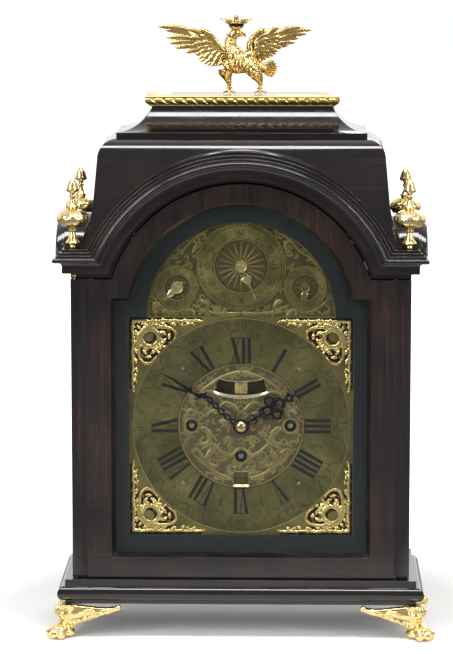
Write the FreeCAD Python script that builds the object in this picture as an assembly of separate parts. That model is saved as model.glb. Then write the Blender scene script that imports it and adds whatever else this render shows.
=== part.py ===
# A break-arch bracket clock: ebonised case on paw feet, bell top with an eagle, brass dial,
# three-train movement with a short bob pendulum. Millimetres. +X is the viewer's right, +Y runs
# from the dial to the back, +Z is up, and the origin is the middle of the footprint on the floor.
import FreeCAD, Part
import math
import os

V = FreeCAD.Vector

# ------------------------------------------------------------------ case
case_half_width = 144.0
case_depth = 120.0              # door face to the flush back
board = 10.0                    # side boards, arch board, walls of the bell top
running_gap = 0.6               # between a door and the wood around it
foot_overhang = 9.5             # toes beyond the plinth
foot_height = 29.0
plinth_height = 21.0
plinth_projection = 12.5
door_height = 257.5             # bottom edge to shoulder
door_thickness = 14.0
door_stile = 33.6               # face of the stile, from the case side to the bevel
door_rail = 17.6                # face of the bottom rail
door_bevel = 3.4
door_shoulder = 19.0            # shoulder of the door down to the shoulder of its opening
door_edge_cove = 13.0           # moulded strip along both outer edges
door_edge_drop = 2.5
arch_drop = 33.0                # shoulder of the door down to the centre of its arch
arch_inset = 30.0               # side of the case to the door's arch
arch_face = 20.0                # face of the door's arch, bevel included
glass = 2.0
glass_setback = 6.0
rebate = 3.0
glass_clearance = 0.3
ear_gap = 5.7                   # top of the door's shoulder up to the cornice
ear_height = 20.5
ear_setback = 4.0               # arch board behind the door face
fascia_projection = 6.7
nose_projection = 14.5
arch_moulding_width = 23.5
arch_clearance = 4.5            # door arch to cornice
side_arch_chord = 22.0          # half the opening of a side arch at the ear's foot
side_arch_width = 21.0          # its moulding
side_arch_height = 46.2         # its top above the ear's foot
side_window_edge = 4.0          # side arch to side window
side_window_sill = 26.0
side_window_half_width = 28.0
side_glass_depth = 5.0          # outside of the case to the side panes
pivot_radius = 1.5              # pins that the doors turn on
pivot_depth = 9.0
pivot_inset = 3.0               # front pins inside the side of the case
pivot_setback = 5.0             # and behind the door face
pivot_ball = 2.6
back_door_thickness = 12.0
back_door_stile = 24.0
back_door_round = 3.5           # rounded hinge edge of the back door
bell_over_arch = 7.2            # bell's top above the arched moulding
bell_foot_inset = 5.0
bell_inset = 37.7
bell_round = 16.0
cap_inset = 37.2
cap_board = 4.9
cap_step = 2.3                  # board's edge to the foot of the cove
cap_cove_inset = 66.1
cap_cove_height = 19.5
cap_neck = 9.9
rim_drop = 9.0                  # gilt rim's foot below the top
rim_projection = 5.7

# ------------------------------------------------------------------ gilt mounts
paw_inset = 4.0                 # middle of the paw inside the plinth's corner
toe_radius = 5.5
toe_angle = 30.0
palm_radius = 9.0
foot_wing_length = 52.0
foot_wing_thickness = 7.0
finial_inset = 2.0
finial_front_inset = 3.0        # behind the door face
finial_rear_inset = 15.6        # in front of the flush back
finial_height = 59.0
finial_bulb_radius = 13.0
eagle_height = 69.0
eagle_perch = 2.8                # its middle, to the right of the lid's
wing_thickness = 4.0

# ------------------------------------------------------------------ dial
dial_setback = 22.0             # dial plate's face behind the door face
dial_plate = 2.5
dial_half_width = 96.5
dial_centre_height = 180.0
dial_drop = 95.9                # centre of the hands down to the plate's lower edge
dial_rise = 94.5                # and up to its shoulders
dial_arch_radius = 80.5
mask = 6.0
chapter_outer = 93.0
chapter_inner = 52.8
ring_plate = 1.2
pin_radius = 1.4
pin_circle = 70.0
upper_ring_rise = 137.5
upper_ring_radius = 37.8
upper_ring_inner = 22.7
side_ring_out = 54.5
side_ring_rise = 119.4
side_ring_radius = 18.4
side_ring_inner = 11.0
spandrel_leg = 64.0
spandrel_plate = 2.2
dial_edge = 2.0                 # spandrel to the plate's edge
winding_hole = 4.9
winding_out = 42.2
winding_drop = 26.5
hand_plate = 1.0
hour_hand_length = 55.0
minute_hand_length = 85.5
hour_pipe = 3.4
cannon_pipe = 2.5
small_arbor = 1.2
hands_above = 4.2               # chapter ring to the face of the hour hand
hand_step = 2.5                 # each piece on the hands' arbor in front of the one before
hour_hand_angle = 59.0
minute_hand_angle = 304.0
upper_hand_length = 32.5
side_hand_length = 16.5
upper_hand_angle = 156.0
left_hand_angle = 226.0
right_hand_angle = 185.0
date_drop = 45.8
date_half_width = 6.5
date_half_height = 5.5
mock_half_angle = 19.0

# ------------------------------------------------------------------ movement
motion_space = 12.0             # dial plate to front plate
movement_plate = 3.0
movement_margin = 74.0          # depth of the case before and behind the pillars
pillar_radius = 4.0
upper_pillar_drop = 34.0
plate_half_width = 70.0
plate_drop = 68.0               # hands' centre down to the plates' feet
plate_rise = 122.0
seat_thickness = 10.0
shaft_fit = 0.08
arbor_radius = 1.25
barrel_radius = 20.0
barrel_margin = 22.0            # pillars longer than the barrels' drums
barrel_arbor = 2.5
barrel_pivot = 2.0
great_wheel_gap = 4.0           # front plate to the great wheels
drum_gap = 3.5
wheel_thickness = 2.0
barrel_teeth = 72
centre_pinion_teeth = 12
side_barrel_teeth = 60
side_barrel_module = 0.78
centre_teeth = 72
centre_wheel_gap = 9.5          # centre wheel's face to the back plate
contrate_pinion_teeth = 8
train_module = 0.63
contrate_teeth = 48
crown_pinion_teeth = 8
contrate_radius = 16.0
crown_teeth = 15
crown_radius = 11.0
cannon_teeth = 12
minute_teeth = 36
minute_pinion_teeth = 10
hour_teeth = 40
motion_distance = 18.0
motion_gap = 2.0                # dial plate to the hour wheel
minute_wheel_gap = 5.0          # minute wheel's face to the front plate
verge_rise = 104.0
verge_radius = 1.5
pallet_length = 5.2
pallet_angle = 45.0
bob_radius = 17.0
bob_thickness = 9.0
pendulum_length = 180.0
pendulum_gap = 7.0              # back plate to the rod
mock_length = 71.0
mock_radius = 5.5
bell_clearance = 5.75           # big bell to the dial plate and to the back door
small_bell_inset = 9.0          # small bell inside the big one
bell_rise_over = 20.0           # plates up to each bell's rim
small_bell_rise_over = 5.0
bell_wall = 2.2
hammer_gap = 1.5
hammer_head = 5.0
hammer_out = 20.0
hammer_drop = 10.0
date_disc_radius = 24.0
date_overlap = 2.0              # disc's edge above its opening

# ------------------------------------------------------------------ places
plinth_nose_half_width = case_half_width + plinth_projection
total_depth = case_depth + plinth_projection + 2 * foot_overhang
back_y = total_depth / 2 - foot_overhang
face_y = back_y - case_depth
door_back_y = face_y + door_thickness
arch_board_y = face_y + ear_setback
arch_board_back = arch_board_y + board
floor_z = foot_height + plinth_height
door_bottom = floor_z + running_gap
shoulder_z = door_bottom + door_height
arch_z = shoulder_z - arch_drop
ear_z = shoulder_z + ear_gap
ear_top = ear_z + ear_height
door_arch_radius = case_half_width - arch_inset
door_arch_opening = door_arch_radius - arch_face
arch_inner = door_arch_radius + arch_clearance
arch_outer = arch_inner + arch_moulding_width
bell_top_z = arch_z + arch_outer + bell_over_arch
cap_cove_z = bell_top_z + cap_board
neck_z = cap_cove_z + cap_cove_height
top_z = neck_z + cap_neck
side_y = (face_y - fascia_projection + back_y) / 2
opening_half_width = case_half_width - door_stile - door_bevel
opening_bottom = door_bottom + door_rail + door_bevel
opening_shoulder = shoulder_z - door_shoulder
side_arch_rise = side_arch_height - side_arch_width
side_arch_inner = (side_arch_chord ** 2 + side_arch_rise ** 2) / (2 * side_arch_rise)
side_arch_outer = side_arch_inner + side_arch_width
side_arch_z = ear_z + side_arch_rise - side_arch_inner
dial_face_y = face_y + dial_setback
dial_back_y = dial_face_y + dial_plate
dial_bottom = dial_centre_height - dial_drop
dial_shoulder = dial_centre_height + dial_rise
dial_arch_z = dial_shoulder + 1.0
front_plate_y = dial_back_y + motion_space
front_plate_back = front_plate_y + movement_plate
pillar_length = case_depth - movement_margin
barrel_length = pillar_length - barrel_margin
back_plate_y = front_plate_back + pillar_length
back_plate_back = back_plate_y + movement_plate
plate_foot = dial_centre_height - plate_drop
plate_top = dial_centre_height + plate_rise
seat_z = plate_foot - seat_thickness
verge_z = dial_centre_height + verge_rise
upper_ring_z = dial_centre_height + upper_ring_rise
side_ring_z = dial_centre_height + side_ring_rise
ring_face_y = dial_face_y - ring_plate
hour_hand_y = ring_face_y - hands_above
minute_hand_y = hour_hand_y - hand_step
collet_y = minute_hand_y - hand_step
front_pivot = (pivot_inset - case_half_width, face_y + pivot_setback)
back_door_half_width = case_half_width - board - running_gap
back_door_top = ear_top - running_gap
back_pivot = (back_door_half_width - back_door_round, back_y - back_door_round)
barrel_module = 2 * winding_drop / (barrel_teeth + centre_pinion_teeth)
great_wheel_y = front_plate_back + great_wheel_gap
drum_y = great_wheel_y + drum_gap
drum_end = drum_y + barrel_length
centre_wheel_y = back_plate_y - centre_wheel_gap
contrate_z = dial_centre_height + train_module * (centre_teeth + contrate_pinion_teeth) / 2
contrate_module = 2 * contrate_radius / contrate_teeth
crown_pinion_radius = contrate_module * crown_pinion_teeth / 2
crown_y = (front_plate_back + back_plate_y) / 2
cannon_module = 2 * motion_distance / (cannon_teeth + minute_teeth)
hour_module = 2 * motion_distance / (minute_pinion_teeth + hour_teeth)
hour_wheel_y = dial_back_y + motion_gap
minute_wheel_y = front_plate_y - minute_wheel_gap
pendulum_y = back_plate_back + pendulum_gap
bells_y = (dial_back_y + back_y - back_door_thickness) / 2
bell_radius = bells_y - dial_back_y - bell_clearance
small_bell_radius = bell_radius - small_bell_inset
bell_rim_z = plate_top + bell_rise_over
small_bell_rim_z = plate_top + small_bell_rise_over
date_centre_z = dial_centre_height - date_drop - date_disc_radius + date_half_height + date_overlap
FAR = 1000.0


# ------------------------------------------------------------------ tools
def box(x0, x1, y0, y1, z0, z1):
    return Part.makeBox(x1 - x0, y1 - y0, z1 - z0, V(x0, y0, z0))


def rod_y(x, z, radius, y0, y1):
    return Part.makeCylinder(radius, y1 - y0, V(x, y0, z), V(0, 1, 0))


def rod_z(x, y, radius, z0, z1):
    return Part.makeCylinder(radius, z1 - z0, V(x, y, z0), V(0, 0, 1))


def tube_y(x, z, outer, inner, y0, y1):
    return rod_y(x, z, outer, y0, y1).cut(rod_y(x, z, inner, y0, y1))


def rod_between(a, b, radius):
    return Part.makeCylinder(radius, (b - a).Length, a, b - a)


def ball(x, y, z, radius):
    return Part.makeSphere(radius, V(x, y, z))


def ellipsoid(centre, rx, ry, rz, turn=0.0):
    """An egg shape, turned about the Y axis through its own middle."""
    stretch = FreeCAD.Matrix()
    stretch.scale(rx, ry, rz)
    egg = Part.makeSphere(1.0).transformGeometry(stretch)
    egg.rotate(V(0, 0, 0), V(0, 1, 0), turn)
    egg.translate(centre)
    return egg


def edges_along(place, start, *steps):
    """Edges from start: a step of one point is a line, a step of two is an arc through them."""
    edges = []
    here = start
    for step in steps:
        if isinstance(step[0], tuple):
            edges.append(Part.Arc(place(*here), place(*step[0]), place(*step[1])).toShape())
            here = step[1]
        else:
            edges.append(Part.LineSegment(place(*here), place(*step)).toShape())
            here = step
    return edges


def face_along(place, start, *steps):
    last = steps[-1][1] if isinstance(steps[-1][0], tuple) else steps[-1]
    closing = () if last == start else (start,)
    return Part.Face(Part.Wire(edges_along(place, start, *steps, *closing)))


def at_y(y):
    return lambda x, z: V(x, y, z)


def at_x(x):
    return lambda y, z: V(x, y, z)


def at_z(z):
    return lambda x, y: V(x, y, z)


def fuse(shapes):
    whole = shapes[0].multiFuse(shapes[1:]) if len(shapes) > 1 else shapes[0]
    return whole.removeSplitter()


def group(shapes):
    return Part.makeCompound(shapes)


def flip_x(shape):
    return shape.mirror(V(0, 0, 0), V(1, 0, 0))


def flip_y(shape):
    return shape.mirror(V(0, 0, 0), V(0, 1, 0))


def half_height(radius, offset):
    """Half the chord of a circle at this distance from its centre."""
    return math.sqrt(radius ** 2 - offset ** 2)


def clock_point(x, z, radius, degrees):
    """A point round (x, z), clockwise from twelve."""
    turn = math.radians(degrees)
    return x + radius * math.sin(turn), z + radius * math.cos(turn)


def save(name, shape):
    shape.exportStep(f"parts/{name}.step")


# ------------------------------------------------------------------ outlines of the case
def break_arch(y, half_width, bottom, shoulder, centre, radius):
    """A rectangle with a round arch on its shoulders, as a wire at depth y."""
    foot = half_height(radius, shoulder - centre)
    return Part.Wire(edges_along(
        at_y(y), (-half_width, bottom), (half_width, bottom), (half_width, shoulder),
        (foot, shoulder), ((0, centre + radius), (-foot, shoulder)),
        (-half_width, shoulder), (-half_width, bottom)))


def break_arch_slab(grow, y0, y1):
    """The door's opening, grown all round, between two depths."""
    wire = break_arch(y0, opening_half_width + grow, opening_bottom - grow, opening_shoulder + grow,
                      arch_z, door_arch_opening + grow)
    return Part.Face(wire).extrude(V(0, y1 - y0, 0))


def hipped(start, *steps):
    """A body whose front and two ends follow one outline of (inset, z), with a flush back."""
    last = steps[-1] if not isinstance(steps[-1][0], tuple) else steps[-1][1]
    right = edges_along(lambda i, z: V(case_half_width - i, face_y, z), start, *steps)
    left = edges_along(lambda i, z: V(i - case_half_width, face_y, z), start, *steps)
    caps = [Part.LineSegment(V(i - case_half_width, face_y, z), V(case_half_width - i, face_y, z)).toShape()
            for i, z in (start, last)]
    across = Part.Face(Part.Wire(Part.sortEdges(right + left + caps)[0]))
    front = edges_along(lambda i, z: V(-case_half_width, face_y + i, z), start, *steps)
    behind = edges_along(at_x(-case_half_width), (face_y + last[0], last[1]), (back_y, last[1]),
                         (back_y, start[1]), (face_y + start[0], start[1]))
    along = Part.Face(Part.Wire(Part.sortEdges(front + behind)[0]))
    return across.extrude(V(0, case_depth, 0)).common(along.extrude(V(2 * case_half_width, 0, 0)))


def mitred_runs(inset, reach, start, *steps):
    """Three strips of one moulding round the front and both ends, mitred at the corners.
    The outline is (projection, z) from a plane this far inside the case, and reach bounds it."""
    width = case_half_width - inset
    front = face_y + inset
    across = face_along(lambda p, z: V(-FAR, front - p, z), start, *steps).extrude(V(2 * FAR, 0, 0))
    end = face_along(lambda p, z: V(width + p, front - FAR, z), start, *steps).extrude(V(0, 2 * FAR, 0))
    middle = face_along(at_z(0), (-width + reach, front + reach), (width - reach, front + reach),
                        (width + reach, front - reach), (-width - reach, front - reach))
    side = face_along(at_z(0), (width - reach, front + reach), (width + reach, front - reach),
                      (width + reach, back_y), (width - reach, back_y))
    right = end.common(side.extrude(V(0, 0, FAR)))
    return [across.common(middle.extrude(V(0, 0, FAR))), right, flip_x(right)]


# ------------------------------------------------------------------ plinth and feet
def base_board():
    return box(-case_half_width, case_half_width, face_y, back_y, foot_height, floor_z)


def base_moulding():
    recess = 6.0
    foot = foot_height + 3.5
    torus_top = floor_z - 5.5
    middle = (foot + torus_top) / 2
    return group(mitred_runs(
        0, 2 * plinth_projection, (0, foot_height), (recess, foot_height), (recess, foot),
        (recess + 2, foot), ((plinth_projection, middle), (recess + 2, torus_top)),
        (recess, torus_top), (recess, floor_z), (0, floor_z)))


def paw_foot():
    """A cast lion's paw under a corner, with a leaf wing along each side."""
    corner_x = plinth_nose_half_width
    corner_y = face_y - plinth_projection
    paw = V(corner_x - paw_inset, corner_y + paw_inset, 0)
    side = 45 - toe_angle
    reach = (foot_overhang + paw_inset - toe_radius) / math.cos(math.radians(side))
    parts = [ball(paw.x, paw.y, palm_radius - 1, palm_radius)]
    for k in range(3):
        turn = math.radians(-side - k * toe_angle)
        toe = paw + V(reach * math.cos(turn), reach * math.sin(turn), toe_radius - 1)
        parts.append(ball(toe.x, toe.y, toe.z, toe_radius))
        parts.append(rod_between(paw + V(0, 0, palm_radius), toe, toe_radius - 1))
    knee = V(corner_x - 12, corner_y + 12, foot_height)
    ankle = Part.Wire(Part.makeCircle(7, V(paw.x, paw.y, palm_radius - 2)))
    parts.append(Part.makeLoft([ankle, Part.Wire(Part.makeCircle(11, knee))], True))
    root = corner_x - 9
    tip = root - foot_wing_length + 9
    wing = face_along(
        lambda x, z: V(x, corner_y + paw_inset, z), (root, foot_height), (tip + 5, foot_height),
        ((tip - 4, foot_height - 3.5), (tip + 4, foot_height - 6)),
        ((tip + 20, foot_height - 14.5), (root - 4, 7)), (root, 7))
    along_x = wing.extrude(V(0, foot_wing_thickness, 0))
    parts.append(along_x)
    parts.append(along_x.mirror(V(corner_x, corner_y, 0), V(1, 1, 0)))
    whole = parts[0].multiFuse(parts[1:])
    return whole.common(box(0, FAR, -FAR, FAR, 0, foot_height))


# ------------------------------------------------------------------ carcase
def side_board():
    """The right side: a board with an arched window and an arched head."""
    front = door_back_y + running_gap
    x0 = case_half_width - board
    wall = box(x0, case_half_width, front, back_y, floor_z, ear_top)
    head = Part.makeCylinder(side_arch_outer - 1, board, V(x0, side_y, side_arch_z), V(1, 0, 0))
    wall = fuse([wall, head.common(box(x0, case_half_width, front, back_y, ear_top, FAR))])
    wall = wall.cut(side_window(0.0, x0, case_half_width))
    return wall.cut(side_window(rebate + glass_clearance, x0, case_half_width - side_glass_depth))


def side_window(grow, x0, x1):
    width = side_window_half_width + grow
    radius = side_arch_inner - side_window_edge + grow
    sill = floor_z + side_window_sill - grow
    shoulder = ear_z - side_window_edge + grow
    spring = half_height(radius, shoulder - side_arch_z)
    face = face_along(
        at_x(x0), (side_y - width, sill), (side_y + width, sill), (side_y + width, shoulder),
        (side_y + spring, shoulder), ((side_y, side_arch_z + radius), (side_y - spring, shoulder)),
        (side_y - width, shoulder))
    return face.extrude(V(x1 - x0, 0, 0))


def side_glass():
    outside = case_half_width - side_glass_depth
    pane = side_window(rebate, outside - glass, outside)
    return group([pane, flip_x(pane)])


def arch_board():
    """The front above the door: a board cut to the door's arch, with its own arched head."""
    head = rod_y(0, arch_z, arch_outer - 1, arch_board_y, arch_board_back)
    head = head.common(box(-FAR, FAR, -FAR, FAR, ear_top, FAR))
    rail = box(-case_half_width, case_half_width, arch_board_y, arch_board_back,
               shoulder_z + running_gap, ear_top)
    hole = rod_y(0, arch_z, door_arch_radius + 1, arch_board_y, arch_board_back)
    recess = rod_z(*front_pivot, pivot_ball + glass_clearance, shoulder_z, ear_z)
    return fuse([head, rail]).cut(hole).cut(recess)


def cornice_outline(height):
    """The cornice's section as (projection, height), over a given height."""
    def up(share):
        return share * height / ear_height
    nose = nose_projection
    return ((-ear_setback, 0), (fascia_projection, 0), (fascia_projection, up(5.4)),
            ((fascia_projection + 1.0, up(8.2)), (fascia_projection + 3.6, up(9.4))),
            (nose - 2.4, up(9.4)), ((nose, up(11.4)), (nose - 2.2, up(13.4))),
            (nose - 3.2, up(13.4)), (nose - 3.2, up(15.4)), (nose - 5.4, up(15.4)),
            (nose - 5.4, up(17.9)), (fascia_projection, up(17.9)),
            (fascia_projection, height), (-ear_setback, height))


def cornice_front():
    """Two ears and the arch between them, mitred where they meet."""
    ear = [shift(point, 0, ear_z) for point in cornice_outline(ear_height)]
    ears = mitred_runs(0, 2 * nose_projection, *ear)[0]
    arch = [shift(point, 0, arch_z + arch_inner) for point in cornice_outline(arch_moulding_width)]
    ring = face_along(lambda p, z: V(0, face_y - p, z), *arch)
    ring = ring.revolve(V(0, 0, arch_z), V(0, 1, 0), 360)
    low = half_height(arch_inner, ear_z - arch_z)
    high = half_height(arch_outer, ear_top - arch_z)
    inside = face_along(at_y(-FAR / 2), (-low, ear_z), (-high, ear_top), (-high, FAR), (high, FAR),
                        (high, ear_top), (low, ear_z)).extrude(V(0, FAR, 0))
    return fuse([ring.common(inside), ears.cut(inside)])


def cornice_sides():
    """The same moulding down each side, broken by a smaller arch."""
    ear = [shift(point, 0, ear_z) for point in cornice_outline(ear_height)]
    ears = mitred_runs(0, 2 * nose_projection, *ear)[1]
    arch = [shift(point, 0, side_arch_z + side_arch_inner)
            for point in cornice_outline(side_arch_width)]
    ring = face_along(lambda p, z: V(case_half_width + p, side_y, z), *arch)
    ring = ring.revolve(V(0, side_y, side_arch_z), V(1, 0, 0), 360)
    low = half_height(side_arch_inner, ear_z - side_arch_z)
    high = half_height(side_arch_outer, ear_top - side_arch_z)
    inside = face_along(at_x(0), (side_y - low, ear_z), (side_y - high, ear_top),
                        (side_y - high, FAR), (side_y + high, FAR), (side_y + high, ear_top),
                        (side_y + low, ear_z)).extrude(V(FAR, 0, 0))
    keep = box(case_half_width, FAR, -FAR, back_y, 0, FAR)
    right = fuse([ring.common(inside), ears.cut(inside)]).common(keep)
    return group([right, flip_x(right)])


def shift(step, across, up):
    """Moves one step of an outline."""
    if isinstance(step[0], tuple):
        return tuple((p + across, z + up) for p, z in step)
    return step[0] + across, step[1] + up


def bell_shape():
    waist = bell_inset - bell_round
    lean = waist - bell_foot_inset
    rise = bell_top_z - ear_top
    foot = (bell_foot_inset, ear_top)
    middle = (bell_foot_inset + 0.57 * lean, ear_top + 0.21 * rise)
    bend = (bell_foot_inset + 0.81 * lean, ear_top + 0.43 * rise)
    shoulder = (waist, bell_top_z - bell_round)
    turn = bell_round * math.cos(math.radians(45))
    round_over = (bell_inset - turn, bell_top_z - bell_round + turn)
    return hipped(foot, (middle, bend), shoulder, (round_over, (bell_inset, bell_top_z)))


def bell_top():
    """The hollow bell with the barrels that run back from the three arches."""
    above = box(-FAR, FAR, -FAR, FAR, ear_top, FAR)
    barrel = rod_y(0, arch_z, arch_outer - 1, arch_board_back, side_y).common(above)
    across = Part.makeCylinder(side_arch_outer - 1, 2 * (case_half_width - board),
                               V(board - case_half_width, side_y, side_arch_z), V(1, 0, 0))
    shell = fuse([bell_shape(), barrel, across.common(above)])
    shell = shell.cut(rod_y(0, arch_z, arch_outer - 1, -FAR, arch_board_back))
    for x0 in (-case_half_width, case_half_width - board):
        end = V(x0, side_y, side_arch_z)
        shell = shell.cut(Part.makeCylinder(side_arch_outer - 1, board, end, V(1, 0, 0)))
    inner_x = case_half_width - bell_inset + bell_round - 1.5 * board
    front = face_y + bell_inset - bell_round + board
    hollow = box(-inner_x, inner_x, front, back_y - board, ear_top, bell_top_z - 2 * board)
    inner_x = case_half_width - bell_inset - board / 2
    hollow = hollow.fuse(box(-inner_x, inner_x, front + board, back_y - board, ear_top, bell_top_z - board))
    inner_barrel = rod_y(0, arch_z, arch_outer - board - 1, arch_board_back, front + board)
    return shell.cut(hollow.fuse(inner_barrel.common(above)))


def bell_cap():
    """The stepped lid on the bell: a board, a hollow cove and the neck that the rim goes round."""
    cove = cap_inset + cap_step
    middle = (0.38 * cove + 0.62 * cap_cove_inset, 0.66 * cap_cove_z + 0.34 * neck_z)
    return hipped((cap_inset, bell_top_z), (cap_inset, cap_cove_z), (cove, cap_cove_z),
                  (middle, (cap_cove_inset, neck_z)), (cap_cove_inset, top_z))


def gilt_rim():
    foot = top_z - rim_drop
    runs = mitred_runs(
        cap_cove_inset, 2 * rim_projection, (0, foot), (0.8, foot),
        ((rim_projection - 0.8, foot + 2.2), (rim_projection, foot + 6)),
        (rim_projection - 1.3, foot + 7.2), (rim_projection - 1.3, top_z), (0, top_z))
    return fuse(runs)


# ------------------------------------------------------------------ gilt ornaments
def finial():
    """A turned and chased urn with a bud on a thin neck, in shares of its bulb and height."""
    face = face_along(
        lambda r, z: V(r * finial_bulb_radius, 0, z * finial_height),
        (0, 0), (0.16, 0), (0.16, 0.08), (0.45, 0.09), (0.45, 0.105), ((0.35, 0.146), (0.23, 0.214)),
        (0.2, 0.258), (0.385, 0.281), ((1.0, 0.427), (0.51, 0.553)), (0.354, 0.566), (0.354, 0.61),
        ((0.2, 0.66), (0.115, 0.712)), (0.2, 0.797), (0.4, 0.834), ((0.34, 0.895), (0.06, 1.0)), (0, 1.0))
    return face.revolve(V(0, 0, 0), V(0, 0, 1), 360)


def finial_at(x, y):
    urn = finial()
    urn.translate(V(x, y, ear_top))
    return urn


def bird(across, up):
    """A point of the bird's middle plane, in hundredths of its height."""
    share = eagle_height / 100
    return V(eagle_perch + across * share, (face_y + cap_cove_inset + back_y) / 2, top_z + up * share)


def eagle_body():
    """Body, neck, head, beak, crown, legs, claws and tail, cast in one."""
    u = eagle_height / 100
    parts = [ellipsoid(bird(across, up), rx * u, ry * u, rz * u, turn)
             for across, up, rx, ry, rz, turn in (
                 (0, 45, 17, 13, 24, -24), (-12, 62, 9, 8, 14, 22), (-8, 72, 8.5, 7.5, 9.5, 20),
                 (21, 33, 16, 8, 8, 22))]
    parts.append(Part.makeCone(3.8 * u, 0.8 * u, 9 * u, bird(-2, 71), V(1, 0, -0.55)))
    tail = face_along(bird, (20, 38), (36, 42), ((52, 33), (38, 20)), (24, 22)).extrude(V(0, 8 * u, 0))
    tail.translate(V(0, -4 * u, 0))
    parts.append(tail)
    for ankle, hip in ((bird(-17, 5), bird(-13, 33)), (bird(23, 5), bird(18, 32))):
        parts.append(Part.makeCone(9 * u, 3.4 * u, (ankle - hip).Length, hip, ankle - hip))
        for turn in (-60, 0, 60):
            claw = V(9 * math.sin(math.radians(turn)), -9 * math.cos(math.radians(turn)), -2.5)
            parts.append(rod_between(ankle, ankle + claw * u, 2.4 * u))
        parts.append(rod_z(ankle.x, ankle.y, 6 * u, top_z, top_z + 3.6 * u))
    parts.append(Part.makeCone(7.5 * u, 11.5 * u, 9 * u, bird(-8, 78), V(0, 0, 1)))
    for turn in range(0, 360, 72):
        point = V(9.4 * math.sin(math.radians(turn)), -9.4 * math.cos(math.radians(turn)), 0)
        parts.append(Part.makeCone(2.6 * u, 0.8 * u, 8.5 * u, bird(-8, 85.5) + point * u, V(0, 0, 1)))
    parts.append(Part.makeCone(3.6 * u, 0.9 * u, 16 * u, bird(-8, 84), V(0, 0, 1)))
    whole = parts[0].multiFuse(parts[1:])
    return whole.common(box(-FAR, FAR, -FAR, FAR, top_z, FAR))


def eagle_wings():
    """Two spread wings, each a curved-edged casting let into the bird's shoulder."""
    left = face_along(
        bird, (-16, 64), ((-30, 84), (-46, 88)), (-55, 78), ((-62, 88), (-70, 88)), (-78, 80),
        (-104, 86), ((-88, 72), (-74, 64)), ((-58, 46), (-40, 30)), ((-28, 28), (-17, 40)))
    right = face_along(
        bird, (12, 64), ((26, 80), (38, 86)), (45, 78), ((52, 88), (60, 86)), (70, 80),
        (88, 82), ((74, 70), (66, 62)), ((54, 52), (42, 44)), ((30, 38), (17, 46)))
    wings = [face.extrude(V(0, wing_thickness, 0)) for face in (left, right)]
    whole = eagle_body()
    return group([wing.cut(whole) for wing in wings])


# ------------------------------------------------------------------ doors
def front_door_frame():
    """A mitred frame with a bevelled arched opening and a coved strip down each outer edge."""
    outer = break_arch(face_y, case_half_width, door_bottom, shoulder_z, arch_z, door_arch_radius)
    slab = Part.Face(outer).extrude(V(0, door_thickness, 0))
    slab = slab.cut(break_arch_slab(0, face_y, door_back_y))
    wires = [break_arch(face_y + depth, opening_half_width + grow, opening_bottom - grow,
                        opening_shoulder + grow, arch_z, door_arch_opening + grow)
             for depth, grow in ((0, door_bevel), (glass_setback - 1.5, 0))]
    slab = slab.cut(Part.makeLoft(wires, True, True))
    slab = slab.cut(break_arch_slab(rebate + glass_clearance, face_y + glass_setback, door_back_y))
    edge = case_half_width - door_edge_cove
    cove = face_along(at_z(door_bottom), (edge, face_y), (edge, face_y + 0.8),
                      ((edge + door_edge_cove / 2, face_y + door_edge_drop),
                       (case_half_width, face_y + 0.8)), (case_half_width, face_y))
    cove = cove.extrude(V(0, 0, shoulder_z - door_bottom))
    slab = slab.cut(cove).cut(flip_x(cove))
    for z0, z1 in pivot_spans(door_bottom, shoulder_z):
        slab = slab.cut(rod_z(*front_pivot, pivot_radius + shaft_fit, z0, z1))
    return slab


def front_door_glass():
    return break_arch_slab(rebate, face_y + glass_setback, face_y + glass_setback + glass)


def pivot_spans(bottom, top):
    """The two blind bores that a door hangs by."""
    return (bottom, bottom + pivot_depth), (top - pivot_depth, top)


def door_pivots():
    """The fixed pins of both doors. The front door's upper pin has a ball that shows."""
    pins = []
    for (x, y), low, high, seat_low, seat_high in (
            (front_pivot, door_bottom, shoulder_z, floor_z, ear_z),
            (back_pivot, door_bottom, back_door_top, floor_z, ear_top)):
        lower = rod_z(x, y, pivot_radius, seat_low, low + pivot_depth - 1)
        upper = rod_z(x, y, pivot_radius, high - pivot_depth + 1, seat_high)
        pins += [lower, upper]
    x, y = front_pivot
    middle = (shoulder_z + ear_z) / 2
    pins[1] = pins[1].fuse(ball(x, y, middle, pivot_ball))
    return group(pins)


def back_door_frame():
    width = back_door_half_width
    y0 = back_y - back_door_thickness
    frame = box(-width, width, y0, back_y, door_bottom, back_door_top)
    inner = width - back_door_stile
    low = door_bottom + back_door_stile
    high = back_door_top - back_door_stile
    frame = frame.cut(box(-inner, inner, y0, back_y, low, high))
    lip = rebate + glass_clearance
    frame = frame.cut(box(-inner - lip, inner + lip, y0, back_y - glass_setback, low - lip, high + lip))
    for z0, z1 in pivot_spans(door_bottom, back_door_top):
        frame = frame.cut(rod_z(*back_pivot, pivot_radius + shaft_fit, z0, z1))
    edge = rod_z(*back_pivot, back_door_round, door_bottom, back_door_top)
    corner = box(back_pivot[0], FAR, back_pivot[1], FAR, 0, FAR)
    return frame.cut(corner.cut(edge))


def back_door_glass():
    inner = back_door_half_width - back_door_stile + rebate
    return box(-inner, inner, back_y - glass_setback - glass, back_y - glass_setback,
               door_bottom + back_door_stile - rebate, back_door_top - back_door_stile + rebate)


def back_door_knob():
    x = -back_door_half_width + back_door_stile / 2
    z = (door_bottom + back_door_top) / 2
    face = face_along(lambda r, y: V(x + r, back_y + y, z), (0, 0), (4.5, 0), (4.5, 1.2), (2.2, 2.2),
                      (2.2, 4.0), ((4.6, 6.2), (2.4, 8.4)), (0, 8.4))
    return face.revolve(V(x, 0, z), V(0, 1, 0), 360)


# ------------------------------------------------------------------ dial
def dial_outline(y, grow):
    return break_arch(y, dial_half_width + grow, dial_bottom - grow, dial_shoulder + grow,
                      dial_arch_z + grow, dial_arch_radius)


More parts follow.
